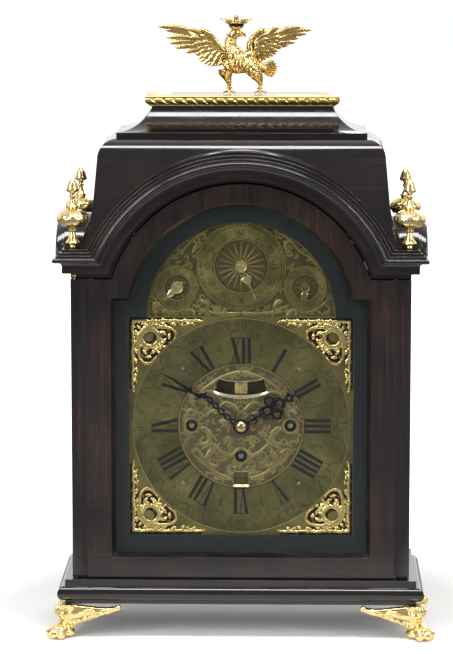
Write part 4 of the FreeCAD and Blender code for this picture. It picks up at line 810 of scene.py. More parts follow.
crown_points = [crown_foot + Vector((crown_wider * off.x, crown_wider * off.y, off.z)) for off in offsets]
feathers = thing("eagle_plumage", *join(plumes + [(crown_points, crown_faces)]))
eagle_gilt = gilt("eagle_gilt", (0.8, 0.59, 0.25, 1), (0.52, 0.34, 0.12, 1), (0.045, 0.02, 0.008, 1),
                  2.4, 0.22)
for piece, kept in ((eagle, "eagle_body"), (feathers, "eagle_wings")):
    note_recesses(piece, 3, 4.0)
    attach(piece, "case")
    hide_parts(kept)
    piece.data.materials.append(eagle_gilt)


# ---------------------------------------------------------------- dial plate
# A break-arch brass plate, cast, hammered and gilded once, now an olive brown. Its middle and its
# arch are matted with a punch, with chased leaf scrolls left standing over the ground.
brass_face, taken, given = effect(
    "aged_brass",
    [("Bright", "Color", (0.3, 0.26, 0.08, 1)), ("Olive", "Color", (0.13, 0.12, 0.035, 1)),
     ("Brown", "Color", (0.2, 0.12, 0.05, 1)), ("Scale", "Float", 22.0), ("Gloss", "Float", 0.36)],
    surface)
cloud = noise(brass_face, taken["Scale"], 5, Roughness=0.6, Distortion=0.6)
spots = noise(brass_face, 260, 4)
rubbed = mixed(brass_face, ranged(brass_face, cloud, 0.4, 0.68), taken["Olive"], taken["Bright"])
stain = ranged(brass_face, spots, 0.52, 0.75, 0.0, 0.8)
wire(brass_face, given, Color=mixed(brass_face, stain, rubbed, taken["Brown"]), Height=spots,
     Roughness=calc(brass_face, "MULTIPLY_ADD", spots, 0.2, taken["Gloss"]))


def off_axis(tree, middle, across=(1, 0, 1)):
    """How far each point is from an axis through middle."""
    place = node(tree, "TexCoord").outputs["Object"]
    here = node(tree, "VectorMath", {0: place, 1: middle}, operation="SUBTRACT").outputs[0]
    level = node(tree, "VectorMath", {0: here, 1: across}, operation="MULTIPLY").outputs[0]
    return node(tree, "VectorMath", {0: level}, operation="LENGTH").outputs["Value"]


def turning_marks(tree, off, scale):
    """The fine rings that a lathe leaves."""
    return node(tree, "TexNoise", {"W": off, "Scale": scale, "Detail": 2}, noise_dimensions="1D").outputs[0]


def old_brass(name, bright, olive, brown, gloss=0.36, scale=22.0, matting=0.0, turned_about=None, deep=None):
    """Aged brass. Matting is the punched ground, turned_about the centre of its turning marks."""
    made, tree, shader = finish(name, Metallic=1.0)
    metal = fill(tree, brass_face, {"Bright": (*bright, 1), "Olive": (*olive, 1), "Brown": (*brown, 1),
                                    "Gloss": gloss, "Scale": scale})
    colour, height = metal["Color"], metal["Height"]
    strength, distance = 0.1, 0.0002
    if turned_about:
        off = off_axis(tree, (turned_about[0], 0, turned_about[1]))
        height = calc(tree, "ADD", turning_marks(tree, off, 2600), height)
        strength = 0.12
    if matting:
        place = node(tree, "TexCoord").outputs["Object"]
        dots = node(tree, "TexVoronoi", {0: place, "Scale": 1500}).outputs["Distance"]
        hollow = node(tree, "Attribute", attribute_name="recess").outputs["Fac"]
        ground = ranged(tree, hollow, 0.45, 0.8)
        height = calc(tree, "ADD", calc(tree, "MULTIPLY", dots, ground), height)
        colour = mixed(tree, ground, colour, (*deep, 1))
        strength, distance = matting, 0.0004
    wire(tree, shader.inputs, Base_Color=colour, Roughness=metal["Roughness"],
         Normal=bumped(tree, height, strength, distance))
    return made


plate_brass = old_brass("plate_brass", (0.36, 0.29, 0.1), (0.2, 0.165, 0.06), (0.2, 0.12, 0.05))
dress(plate_brass, "dial_plate", "date_disc")
low, high = corners("dial_plate")
plate_face = low.y
plate_half = high.x
plate_foot = low.z
plate_arch_top = high.z
hands_z = 180.0
arch_radius = 80.5
arch_middle = plate_arch_top - arch_radius
ring_low, ring_high = corners("chapter_ring")
ring_out = ring_high.x
ring_in = 52.8
ring_face = ring_low.y
upper_ring = (0.0, hands_z + 137.5, 37.8, 22.7)
left_ring = (-54.5, hands_z + 119.4, 18.4, 11.0)
right_ring = (54.5, hands_z + 119.4, 18.4, 11.0)
small_rings = (upper_ring, left_ring, right_ring)
barrel_across, barrel_down = 42.2, 26.5
holes = ((-barrel_across, hands_z), (0.0, hands_z - barrel_down), (barrel_across, hands_z))
hands_hole, winding_hole = 5.2, 5.3
swing_z = 284.0
slot_low, slot_high, slot_turn = 66.5, 77.4, 16.5
date_z = hands_z - 45.8
date_half_wide, date_half_tall = 6.3, 5.4
arch_foot = hands_z + 94


def curl(x, z, start, turn, first, last, wide, slim, steps=26):
    """A spiral stroke round (x, z): its angle, how far it turns, its radii and widths, in mm."""
    made = []
    for t in np.linspace(0, 1, steps):
        angle = math.radians(start + turn * t)
        r = first + (last - first) * t ** 0.8
        made.append((x + r * math.cos(angle), z + r * math.sin(angle), wide + (slim - wide) * t))
    return made


def sweep(points, wide, slim, steps=5):
    """A long stroke on a smooth line, from wide to slim."""
    line = smooth_path(points, steps)
    return [(p[0], p[1], wide + (slim - wide) * t) for p, t in zip(line, np.linspace(0, 1, len(line)))]


def leaves(stroke, size, gap=4, side=1, lean=0.75):
    """Small pointed lobes that spring from one side of a stroke."""
    made = []
    for k in range(2, len(stroke) - 2, gap):
        x, z, width = stroke[k]
        ax, az = stroke[k + 1][0] - x, stroke[k + 1][1] - z
        length = math.hypot(ax, az) or 1
        ax, az = ax / length, az / length
        nx, nz = -az * side, ax * side
        grow = size * (0.5 + 0.5 * width / max(w for a, b, w in stroke))
        made.append([(x + (nx * s + ax * s * lean * (0.4 + s * 0.6)) * grow,
                      z + (nz * s + az * s * lean) * grow, max(0.25, width * 0.75 * (1 - s)))
                     for s in np.linspace(0.1, 1, 6)])
    return made


def both_halves(strokes):
    """Strokes with their mirror images across the clock's middle."""
    return strokes + [[(-x, z, w) for x, z, w in stroke] for stroke in strokes]


def scrollwork(rows, foot, slim, large, small):
    """Curls from rows of angle, turn, middle, two radii and width, with leaves on both sides."""
    made = []
    for start, turn, x, z, first, last, wide in rows:
        stroke = curl(x, foot + z, start, turn, first, last, wide, slim)
        side = -1 if turn > 0 else 1
        made += [stroke] + leaves(stroke, wide * large, 3, side) + leaves(stroke, wide * small, 5, -side)
    return made


def tendrils(rows, foot, wide, large):
    """Long strokes with leaves on both sides."""
    made = []
    for points in rows:
        stroke = sweep([(x, foot + z) for x, z in points], wide, 0.8)
        made += [stroke] + leaves(stroke, large, 3, 1) + leaves(stroke, 3.0, 4, -1)
    return made


def relief(strokes, x0, x1, z0, z1, gap):
    """Heights from 0 to 1 over a grid. Each stroke is a rounded ridge, grooved down its middle."""
    xs = np.arange(x0, x1 + gap / 2, gap)
    zs = np.arange(z0, z1 + gap / 2, gap)
    heights = np.zeros((len(zs), len(xs)))
    for stroke in strokes:
        for (ax, az, aw), (bx, bz, bw) in zip(stroke[:-1], stroke[1:]):
            wide = max(aw, bw)
            i0 = max(0, int((min(ax, bx) - wide - x0) / gap))
            i1 = min(len(xs), int((max(ax, bx) + wide - x0) / gap) + 2)
            j0 = max(0, int((min(az, bz) - wide - z0) / gap))
            j1 = min(len(zs), int((max(az, bz) + wide - z0) / gap) + 2)
            if i0 >= i1 or j0 >= j1:
                continue
            px, pz = np.meshgrid(xs[i0:i1], zs[j0:j1])
            dx, dz = bx - ax, bz - az
            t = np.clip(((px - ax) * dx + (pz - az) * dz) / max(dx * dx + dz * dz, 1e-6), 0, 1)
            off = np.hypot(px - ax - dx * t, pz - az - dz * t)
            width = aw + (bw - aw) * t
            ridge = np.sqrt(np.clip(1 - (off / width) ** 2, 0, 1))
            ridge = ridge * (1 - 0.28 * np.exp(-(off / (0.22 * width)) ** 2))
            heights[j0:j1, i0:i1] = np.maximum(heights[j0:j1, i0:i1], ridge * np.minimum(1, width / 1.6))
    return xs, zs, heights


def chased_sheet(name, carved, tall, keep, level, base):
    """A thin sheet of relief. Keep says which places (x, z) are metal; level is its ground."""
    xs, zs, heights = carved
    heights = heights * tall
    gx, gz = np.meshgrid(xs, zs)
    solid = keep(gx, gz)
    order = -np.ones(solid.shape, int)
    order[solid] = np.arange(solid.sum())
    points = np.stack([gx[solid], level - heights[solid], gz[solid]], axis=1)
    a, b, c, d = order[:-1, :-1], order[:-1, 1:], order[1:, 1:], order[1:, :-1]
    whole = (a >= 0) & (b >= 0) & (c >= 0) & (d >= 0)
    faces = np.stack([a[whole], b[whole], c[whole], d[whole]], axis=1)
    made = thing(name, points, faces.tolist())
    noted = made.data.attributes.new("recess", "FLOAT", "POINT")
    shown = 1 - np.clip(heights[solid] / tall / 0.45, 0, 1)
    noted.data.foreach_set("value", shown.astype(np.float32))
    skirt = made.modifiers.new("body", "SOLIDIFY")
    skirt.thickness = base * mm
    skirt.offset = -1.0
    return made


def middle_metal(gx, gz):
    """The matted middle, but for the holes, the curved opening and the date's."""
    off_hands = np.hypot(gx, gz - hands_z)
    made = (off_hands < ring_in - 0.4) & (off_hands > hands_hole)
    for x, z in holes:
        made &= np.hypot(gx - x, gz - z) > winding_hole
    reach = np.hypot(gx, gz - swing_z)
    slot = (np.abs(gx) < (swing_z - gz) * math.tan(math.radians(slot_turn))) & (reach > slot_low)
    date = (np.abs(gx) < date_half_wide) & (np.abs(gz - date_z) < date_half_tall)
    return made & ~(slot & (reach < slot_high)) & ~date


half_leaves = scrollwork(
    ((150, -250, 30, 22, 9.0, 1.6, 2.3), (200, 230, 14, 34, 7.0, 1.4, 1.9),
     (95, 260, 33, -12, 9.5, 1.5, 2.4), (300, -260, 14, 9, 6.5, 1.4, 1.8),
     (60, -280, 22, -31, 8.8, 1.4, 2.3), (150, 240, 9.5, -39, 5.0, 1.2, 1.5),
     (20, 240, 42, 10, 4.6, 1.1, 1.5), (250, -220, 12, -12, 5.5, 1.2, 1.6),
     (180, -200, 40, -24, 5.0, 1.0, 1.4)),
    hands_z, 0.8, 2.0, 1.1)
half_leaves += tendrils(
    ([(1, -20), (8, -26), (16, -23), (24, -16), (33, -20)], [(4, 14), (12, 20), (22, 14), (30, 10)],
     [(3, 46), (10, 44), (20, 40), (30, 33), (38, 26)], [(10, -46), (20, -42), (31, -34), (40, -26)]),
    hands_z, 1.9, 3.6)
middle_leaves = both_halves(half_leaves)
chance = np.random.default_rng(12)


def scattered(count, place, sizes=(2.2, 4.2)):
    """Small curls with leaves that fill the ground between the large ones."""
    made = []
    for k in range(count):
        x, z = place()
        r = chance.uniform(*sizes)
        way = chance.choice((-1, 1))
        stroke = curl(x, z, chance.uniform(0, 360), way * chance.uniform(170, 280), r, r * 0.25, 0.8, 0.5, 16)
        made.append(stroke)
        made += leaves(stroke, 1.7, 2, -way)
    return made


def on_the_middle():
    """A place on the round middle of the dial."""
    turn, out = chance.uniform(0, 2 * math.pi), ring_in * math.sqrt(chance.uniform(0.03, 0.96))
    return out * math.cos(turn), hands_z + out * math.sin(turn)


sheet_gap = 0.36
sheet_level, sheet_base = plate_face - 0.05, 0.04
middle_leaves += scattered(330, on_the_middle, (1.8, 3.8))
middle_leaves += [curl(x, z, 0, 360, 6.4, 6.4, 0.8, 0.8, 40) for x, z in holes]
carved = relief(middle_leaves, -ring_in, ring_in, hands_z - ring_in, hands_z + ring_in, sheet_gap)
middle_sheet = chased_sheet("chased_middle", carved, 0.8, middle_metal, sheet_level, sheet_base)

arch_leaves = scrollwork(
    ((120, -250, 53, 334, 8.0, 1.4, 2.0), (30, 240, 66, 321, 6.0, 1.2, 1.7),
     (260, 240, 43, 349, 5.0, 1.1, 1.5), (90, 250, 33, 281, 6.5, 1.3, 1.8),
     (200, -250, 45, 277, 5.0, 1.1, 1.5), (100, -240, 72, 280, 5.6, 1.2, 1.7),
     (150, 240, 18, 279, 5.0, 1.1, 1.5), (20, 200, 33, 352, 4.0, 0.9, 1.2),
     (10, 240, 62, 277, 4.4, 1.0, 1.3)),
    0, 0.7, 2.2, 1.2)
arch_leaves += tendrils(
    ([(30, 348), (40, 342), (50, 331), (60, 325), (70, 318)], [(2, 277), (14, 276.5), (26, 278), (40, 284)],
     [(38, 296), (41, 290), (48, 281), (58, 278), (70, 285), (76, 292)], [(40, 330), (38, 336), (42, 342)]),
    0, 1.7, 3.4)
arch_leaves = both_halves(arch_leaves)


def on_the_arch():
    """A place on the arch, clear of the small rings."""
    while True:
        x, z = chance.uniform(-78, 78), chance.uniform(arch_foot + 1, plate_arch_top)
        if all(math.hypot(x - a, z - b) > outer + 1 for a, b, outer, inner in small_rings):
            return x, z


def arch_metal(gx, gz):
    """The matted arch, but for the small rings and the holes of their arbors."""
    made = (np.hypot(gx, gz - arch_middle) < arch_radius - 0.6) & (gz > arch_foot + 0.6)
    made &= np.hypot(gx, gz - hands_z) > ring_out + 0.6
    for x, z, outer, inner in small_rings:
        off = np.hypot(gx - x, gz - z)
        made &= ((off > outer + 0.3) | (off < inner - 0.3)) & (off > 1.7)
    return made


arch_leaves += scattered(200, on_the_arch, (1.8, 3.8))
arch_leaves.append(curl(0, arch_middle, 2, 176, arch_radius - 1.4, arch_radius - 1.4, 0.7, 0.7, 60))
for x, z, outer, inner in small_rings:
    for turn in circled(20 if outer > 30 else 12):
        arch_leaves.append([(x + math.sin(turn) * inner * s, z + math.cos(turn) * inner * s,
                             inner * 0.03 * math.sin(math.pi * min(1, s * 1.02)) ** 0.6 + 0.1)
                            for s in np.linspace(0.2, 0.93, 8)])
carved = relief(arch_leaves, -arch_radius, arch_radius, arch_foot, plate_arch_top, sheet_gap)
arch_sheet = chased_sheet("chased_arch", carved, 0.75, arch_metal, sheet_level, sheet_base)
middle_brass = old_brass("middle_brass", (0.42, 0.34, 0.15), (0.27, 0.215, 0.095), (0.26, 0.15, 0.06),
                         0.34, 30.0, 0.8, None, (0.13, 0.1, 0.05))
arch_brass = old_brass("arch_brass", (0.42, 0.34, 0.12), (0.24, 0.19, 0.07), (0.22, 0.13, 0.05),
                       0.36, 26.0, 0.8, None, (0.09, 0.075, 0.034))
for piece, metal in ((middle_sheet, middle_brass), (arch_sheet, arch_brass)):
    piece.data.materials.append(metal)
    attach(piece, "case")


# ---------------------------------------------------------------- chapter ring and small rings
# Turned brass rings pinned flat on the plate. The hours are cut deep and filled with black wax, and
# the arcaded minute band, its numbers and the small dials' figures are fine engraved lines. A bright
# line round each ring's edges is a painted highlight.
ring_brass = old_brass("ring_brass", (0.36, 0.31, 0.12), (0.13, 0.112, 0.042), (0.12, 0.08, 0.035),
                       0.3, 15.0, 0.0, (0, hands_z * mm))
dress(ring_brass, "chapter_ring")
dress(old_brass("small_ring_brass", (0.5, 0.43, 0.16), (0.2, 0.17, 0.06), (0.16, 0.1, 0.04), 0.3,
                30.0, 0.0, (0, upper_ring[1] * mm)), "subdial_rings")
wax, tree, shader = finish("black_wax", Specular_IOR_Level=0.16)
worn = noise(tree, 500, 3)
wire(tree, shader.inputs, Base_Color=mixed(tree, worn, (0.004, 0.005, 0.005, 1), (0.016, 0.016, 0.013, 1)),
     Roughness=ranged(tree, worn, 0.0, 1.0, 0.35, 0.7))


def inlay(name, shapes, face, material, deep=0.03, body="case"):
    """Flat shapes in (x, z), a hair over a face that looks forward, as thin slips of their filling."""
    sets = []
    for shape in shapes:
        count = len(shape)
        front = [(x, face - deep, z) for x, z in shape]
        back = [(x, face, z) for x, z in shape]
        sides = [(k, (k + 1) % count, (k + 1) % count + count, k + count) for k in range(count)]
        sets.append((front + back, [tuple(range(count)), tuple(range(2 * count - 1, count - 1, -1))] + sides))
    made = thing(name, *join(sets), smooth=False)
    made.data.materials.append(material)
    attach(made, body)


def radial(across, up, degrees, x=0.0, z=hands_z):
    """The place (x, z) of a point on a hand or figure that points at an angle on a dial."""
    turn = math.radians(degrees)
    return (x + up * math.sin(turn) + across * math.cos(turn),
            z + up * math.cos(turn) - across * math.sin(turn))


hour_foot, hour_head = 54.4, 76.6
serif = 0.45
sign_widths = {"I": 4.8, "V": 9.4, "X": 9.0}


def numeral(signs, degrees):
    """The flat shapes of one hour: its strokes, and the two hairlines that close them."""
    total = sum(sign_widths[sign] for sign in signs)
    at = -total / 2
    shapes = []

    def bar(x0, x1, wide0, wide1=None):
        """One stroke, from its foot at x0 to its head at x1."""
        wide1 = wide0 if wide1 is None else wide1
        shapes.append([radial(a, b, degrees) for a, b in (
            (x0 - wide0 / 2, hour_foot), (x0 + wide0 / 2, hour_foot), (x1 + wide1 / 2, hour_head),
            (x1 - wide1 / 2, hour_head))])

    for sign in signs:
        middle = at + sign_widths[sign] / 2
        if sign == "I":
            bar(middle, middle, 2.9)
        if sign == "V":
            bar(middle + 0.4, middle - 2.6, 1.6, 3.0)
            bar(middle + 0.9, middle + 3.4, 0.7)
        if sign == "X":
            bar(middle + 2.7, middle - 2.7, 3.0)
            bar(middle - 3.1, middle + 3.1, 0.7)
        at += sign_widths[sign]
    end = total / 2 - 0.2
    for up in (hour_foot, hour_head - serif):
        shapes.append([radial(a, b, degrees) for a, b in (
            (-end, up), (end, up), (end, up + serif), (-end, up + serif))])
    return shapes


hours = []
for k, signs in enumerate(("XII", "I", "II", "III", "IIII", "V", "VI", "VII", "VIII", "IX", "X", "XI")):
    hours += numeral(signs, 30 * k)
inlay("hour_numerals", hours, ring_face, wax)

cut_line, tree, shader = finish("engraved_line", Roughness=0.8, Specular_IOR_Level=0.1)
tone = mixed(tree, noise(tree, 400, 3), (0.004, 0.004, 0.003, 1), (0.022, 0.018, 0.01, 1))
wire(tree, shader.inputs, Base_Color=tone)


def ribbon(line, width):
    """Quads along a line of (x, z) points."""
    line = np.asarray(line, float)
    along = np.gradient(line, axis=0)
    along /= np.maximum(np.linalg.norm(along, axis=1), 1e-9)[:, None]
    side = np.stack([-along[:, 1], along[:, 0]], axis=1) * width / 2
    left, right = line + side, line - side
    return [[tuple(left[k]), tuple(right[k]), tuple(right[k + 1]), tuple(left[k + 1])]
            for k in range(len(line) - 1)]


def oval(cx, cy, rx, ry, start=0, end=360, steps=18):
    """Points on an oval, its angles from the top and to the right."""
    turns = np.radians(np.linspace(start, end, steps))
    return [(cx + rx * math.sin(t), cy + ry * math.cos(t)) for t in turns]


figures = {
    "0": [oval(0.5, 0.5, 0.36, 0.5)],
    "1": [[(0.3, 0.78), (0.52, 1.0), (0.52, 0.0)]],
    "2": [oval(0.5, 0.72, 0.34, 0.28, -80, 110, 10) + [(0.12, 0.0), (0.9, 0.0)]],
    "3": [oval(0.48, 0.75, 0.3, 0.25, -70, 170, 10), oval(0.48, 0.27, 0.36, 0.27, 10, 250, 12)],
    "4": [[(0.68, 0.0), (0.68, 1.0), (0.1, 0.3), (0.92, 0.3)]],
    "5": [[(0.82, 1.0), (0.3, 1.0), (0.24, 0.58)] + oval(0.5, 0.32, 0.34, 0.32, -40, 240, 14)],
    "6": [[(0.74, 0.98), (0.4, 0.8), (0.2, 0.5)] + oval(0.5, 0.3, 0.33, 0.3, -80, 280, 16)],
    "7": [[(0.14, 1.0), (0.88, 1.0), (0.4, 0.0)]],
    "8": [oval(0.5, 0.76, 0.27, 0.24), oval(0.5, 0.26, 0.34, 0.27)],
    "9": [oval(0.5, 0.7, 0.33, 0.3, -260, 100, 16) + [(0.6, 0.2), (0.26, 0.02)]]}


def number(text, tall, up, degrees, width=0.35, x=0.0, z=hands_z, stretch=0.8):
    """An engraved number whose foot stands at a radius from (x, z)."""
    wide = tall * stretch
    made = []
    for k, sign in enumerate(text):
        shift = (k - len(text) / 2) * wide * 1.05
        for line in figures[sign]:
            points = [radial(shift + a * wide, up + b * tall, degrees, x, z) for a, b in line]
            made += ribbon(points, width)
    return made


def circle(radius, width, x=0.0, z=hands_z):
    """An engraved circle."""
    return ribbon([radial(0, radius, t, x, z) for t in np.linspace(0, 360, 120)], width)


def tick(low, high, degrees, width, x=0.0, z=hands_z):
    """A short engraved line that points at the middle of its dial."""
    return ribbon([radial(0, r, degrees, x, z) for r in (low, high)], width)


band_foot, arcade_foot, arcade_tall = 82.2, 83.3, 7.2
figures_foot = 83.8
minute_low, minute_high = 78.6, 80.6
outer_line, inner_line = 92.2, 54.2
half_hour_mark = (((0, 62), (0, 70)), ((-1.6, 67.6), (1.6, 67.6)), ((-1.2, 72), (0, 70)),
                  ((1.2, 72), (0, 70)))
engraved = circle(outer_line, 0.4) + circle(inner_line, 0.35)
for k in range(12):
    degrees = 30 * k
    engraved += number(str(5 * k or 60), 6.2, figures_foot, degrees, 0.5)
    engraved += ribbon([radial(a, band_foot, degrees) for a in (-9, 9)], 0.4)
    for side in (-1, 1):
        arcade = [radial(side * 9, band_foot, degrees), radial(side * 10.2, arcade_foot, degrees)]
        arcade += [radial(0, arcade_foot + arcade_tall * math.sin(math.pi * t) ** 0.75,
                          degrees + side * (7.2 + 15.6 * t * 0.5)) for t in np.linspace(0.02, 1.0, 12)[:8]]
        engraved += ribbon(smooth_path(arcade, 2), 0.45)
    for minute in range(1, 5):
        engraved += tick(minute_low, minute_high, degrees + 6 * minute, 0.45)
    half = degrees + 15
    for a, b in half_hour_mark:
        engraved += ribbon([radial(*a, half), radial(*b, half)], 0.4)
x, z, outer, inner = upper_ring
for radius in (outer - 0.9, outer - 3.4, inner + 1.0):
    engraved += circle(radius, 0.4, x, z)
for k in range(60):
    engraved += tick(outer - 3.4, outer - 0.9, 6 * k, 0.35, x, z)
for k in range(12):
    engraved += number(str(5 * (k or 12)), 5.0, inner + 3.6, 30 * k, 0.45, x, z, 0.62)
for x, z, outer, inner in (left_ring, right_ring):
    for radius in (outer - 0.7, inner + 0.7):
        engraved += circle(radius, 0.35, x, z)
    for k in range(4):
        engraved += number(str(3 * (k or 4)), 3.6, inner + 1.8, 90 * k, 0.4, x, z, 0.62)
        for step in (30, 60):
            engraved += tick(inner + 2.4, outer - 2.2, 90 * k + step, 0.4, x, z)
inlay("engraved_lines", engraved, ring_face, cut_line, 0.05)
# A painted highlight: thin slips of bright brass laid round the rings' inner and outer edges.
highlight_brass = old_brass("highlight_brass", (0.8, 0.66, 0.32), (0.6, 0.46, 0.18), (0.4, 0.28, 0.1), 0.2)
edge_highlights = circle(ring_in + 0.35, 0.6) + circle(ring_out - 0.35, 0.6)
for x, z, outer, inner in small_rings:
    edge_highlights += circle(inner + 0.3, 0.5, x, z) + circle(outer - 0.3, 0.5, x, z)
inlay("ring_edge_highlights", edge_highlights, ring_face, highlight_brass, 0.06)
pin_steel, tree, shader = finish("pin_steel", Metallic=1.0, Base_Color=(0.6, 0.58, 0.5, 1))
wire(tree, shader.inputs, Roughness=ranged(tree, noise(tree, 1200, 2), 0.0, 1.0, 0.18, 0.42))
dress(pin_steel, "chapter_ring_pins")


# ---------------------------------------------------------------- corner mounts of the dial
# Four cast and pierced spandrels, gilt and pinned at the corners: a round rosette in the corner and
# an arm of leafy scrolls along each edge that thins out against the chapter ring.
shoulder_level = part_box("spandrels")[1][2] / mm + 2.0
rosette = 17.2


def corner_mount(flip_across, flip_up):
    """Strokes of one mount. Its own (p, q) run from the plate's corner along the two edges."""
    edge_x = plate_half - 1.6
    edge_z = shoulder_level - 1.6 if flip_up else plate_foot + 1.6
    strokes = [[(rosette + 7.2 * math.cos(t), rosette + 7.2 * math.sin(t), 2.0)
                for t in np.linspace(0, 2 * math.pi, 40)]]
    for t in circled(11):
        strokes.append([(rosette + r * math.cos(t + lean), rosette + r * math.sin(t + lean), w)
                        for r, lean, w in ((7.6, 0, 1.0), (9.8, 0.12, 1.5), (11.2, 0.2, 0.7))])
    arm = [sweep([(6, 24), (8, 14), (15, 8.2), (25, 7.6), (34, 8.4), (39, 12.5), (38, 19), (33.5, 23)],
                 1.7, 1.4, 6),
           sweep([(2.5, 2.5), (10, 2.2), (20, 2.8), (30, 2.0), (40, 2.7), (50, 2.1), (62, 2.4)],
                 1.5, 1.1, 6)]
    for k, p in enumerate(np.arange(4.0, 63.5, 3.1)):
        lift = 0.8 * math.sin(2.1 * k)
        arm.append([(p - 0.6, 1.6 + lift, 0.9), (p + 0.3, 2.8 + lift, 1.25), (p + 0.9, 4.2 + lift, 0.5)])
    for p, q, turn in ((29, 12.6, 40), (33.5, 15.5, 95), (24.5, 12.6, -20), (29.5, 19.5, 120), (30, 25.0, 30),
                       (25.5, 24.6, 80), (21.5, 27.5, -30), (44.5, 5.8, 20), (49.5, 5.0, -10), (54, 4.8, 30),
                       (8.0, 8.0, 45), (12.5, 5.4, 10), (37, 5.2, 10), (20.5, 5.2, -20), (28.5, 5.2, 25)):
        along, up = 2.0 * math.cos(math.radians(turn)), 2.0 * math.sin(math.radians(turn))
        arm.append([(p - along, q - up, 0.8), (p, q, 1.7), (p + along, q + up, 1.0)])
    strokes += arm + [[(q, p, w) for p, q, w in stroke] for stroke in arm]
    return [[((p - edge_x) if flip_across else (edge_x - p), (edge_z - q) if flip_up else (edge_z + q), w)
             for p, q, w in stroke] for stroke in strokes]


mount_strokes = []
for flip_across in (False, True):
    for flip_up in (False, True):
        mount_strokes += corner_mount(flip_across, flip_up)
corner_x = plate_half - 1.2
mount_relief = relief(mount_strokes, -corner_x, corner_x, plate_foot + 1.2, shoulder_level - 1.2, 0.4)


def mount_metal(gx, gz):
    """The pierced body of the mounts, and whatever stands up beside it."""
    p = plate_half - np.abs(gx)
    q = np.minimum(gz - plate_foot, shoulder_level - gz)
    body = ((np.minimum(p, q) < 6.0) & (np.maximum(p, q) < 63)) | ((p < 39) & (q < 39) & (p + q < 58))
    body &= np.hypot(p - rosette, q - rosette) > 4.6
    for a, b, r in ((27.5, 16.5, 2.2), (34.5, 11.6, 1.7), (22.5, 23.5, 1.8), (11.5, 11.5, 1.6)):
        body &= (np.hypot(p - a, q - b) > r) & (np.hypot(q - a, p - b) > r)
    return (body | (mount_relief[2] > 0.3)) & (np.hypot(gx, gz - hands_z) > ring_out + 0.5)


corner_mounts = chased_sheet("corner_mounts", mount_relief, 1.75, mount_metal, plate_face - 0.4, 0.38)
spandrel_gilt = gilt("spandrel_gilt", (0.95, 0.74, 0.3, 1), (0.75, 0.5, 0.16, 1), (0.03, 0.016, 0.008, 1),
                     1.25, 0.2)
corner_mounts.data.materials.append(spandrel_gilt)
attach(corner_mounts, "case")
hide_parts("spandrels")


# ---------------------------------------------------------------- hour and minute hands
# Sawn and filed from sheet steel, with their edges bevelled, and blued until they are nearly black.
# The hour hand is a chain of rings with leaf tips, the minute hand a twisted pair and a long blade.
blued, tree, shader = finish("blued_steel", Metallic=1.0)
film = noise(tree, 90, 3)
wire(tree, shader.inputs, Base_Color=mixed(tree, film, (0.012, 0.013, 0.02, 1), (0.03, 0.032, 0.05, 1)),
     Roughness=ranged(tree, film, 0.3, 0.7, 0.2, 0.42))


def strap(line, widths, back, thick, place):
    """A filed strap of sheet along a line of (across, up), with its front edges bevelled."""
    line = np.asarray(line, float)
    along = np.gradient(line, axis=0)
    along /= np.maximum(np.linalg.norm(along, axis=1), 1e-9)[:, None]
    side = np.stack([along[:, 1], -along[:, 0]], axis=1)
    rings = []
    for k in range(len(line)):
        ring = []
        for share, level in ((-1, 0), (-1, 0.55), (-0.55, 1), (0.55, 1), (1, 0.55), (1, 0)):
            x, z = place(*(line[k] + side[k] * widths[k] * share))
            ring.append((x, back - thick * level, z))
        rings.append(ring)
    return lofted(rings)


def curved_strap(points, widths, back, thick, place, steps):
    """A strap on a smooth line through a few points, with its widths spread along it."""
    line = smooth_path(points, steps)
    spread = np.interp(np.linspace(0, 1, len(line)), np.linspace(0, 1, len(widths)), widths)
    return strap(line, spread, back, thick, place)


def domed(back, outline, place, steps=40):
    """A turned disc about the Y axis from (radius, height) points, its top towards the front."""
    rings = []
    for r, level in outline:
        ring = []
        for t in circled(steps):
            x, z = place(r * math.sin(t), r * math.cos(t))
            ring.append((x, back - level, z))
        rings.append(ring)
    return lofted(rings)


def hand(name, sets, node_name, body, material):
    """A piece that takes the place of one of the model's, rides on its body and is filed flat."""
    made = thing(name, *join(sets))
    made.data.shade_flat()
    made.data.materials.append(material)
    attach(made, body)
    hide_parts(node_name)


def pointing(degrees, x=0.0, z=hands_z):
    """The rule that places a point (across, up) of a hand at its angle on a dial."""
    return lambda across, up: radial(across, up, degrees, x, z)


sheet_thick = 0.9
at = pointing(59.0)
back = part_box("hour_hand")[1][1] / mm
hour_boss = ((3.5, 0), (6.6, 0), (6.6, 0.6), (6.0, 0.95), (5.2, 0.7), (4.4, 0.95), (3.5, 0.95), (3.5, 0.0))
hour_sets = [domed(back, hour_boss, at)]
for across, up, outer, wall in ((0, 26.5, 4.9, 2.3), (-6.6, 32.0, 4.9, 2.4), (6.6, 32.0, 4.9, 2.4),
                                (0, 38.5, 4.9, 2.3), (0, 48.0, 3.6, 1.9)):
    middle = outer - wall / 2
    ring = oval(across, up, middle, middle, steps=28)
    hour_sets.append(strap(ring, [wall / 2] * len(ring), back, sheet_thick, at))
paired = [([(0, 12.5), (2.2, 14.2), (3.9, 13.0), (3.2, 11.2)], [0.9, 0.9, 0.9, 0.5]),
          ([(0, 19.5), (2.6, 20.4), (4.6, 22.6), (4.4, 25)], [1.0, 1.0, 0.9, 0.4]),
          ([(10.6, 32.3), (12.4, 33.8)], [1.4, 0.2]), ([(6.6, 36.2), (6.2, 39.4)], [1.4, 0.2]),
          ([(4.1, 39.5), (5.8, 41.8)], [1.2, 0.2]), ([(3.0, 48.5), (4.8, 50.4)], [1.0, 0.2])]
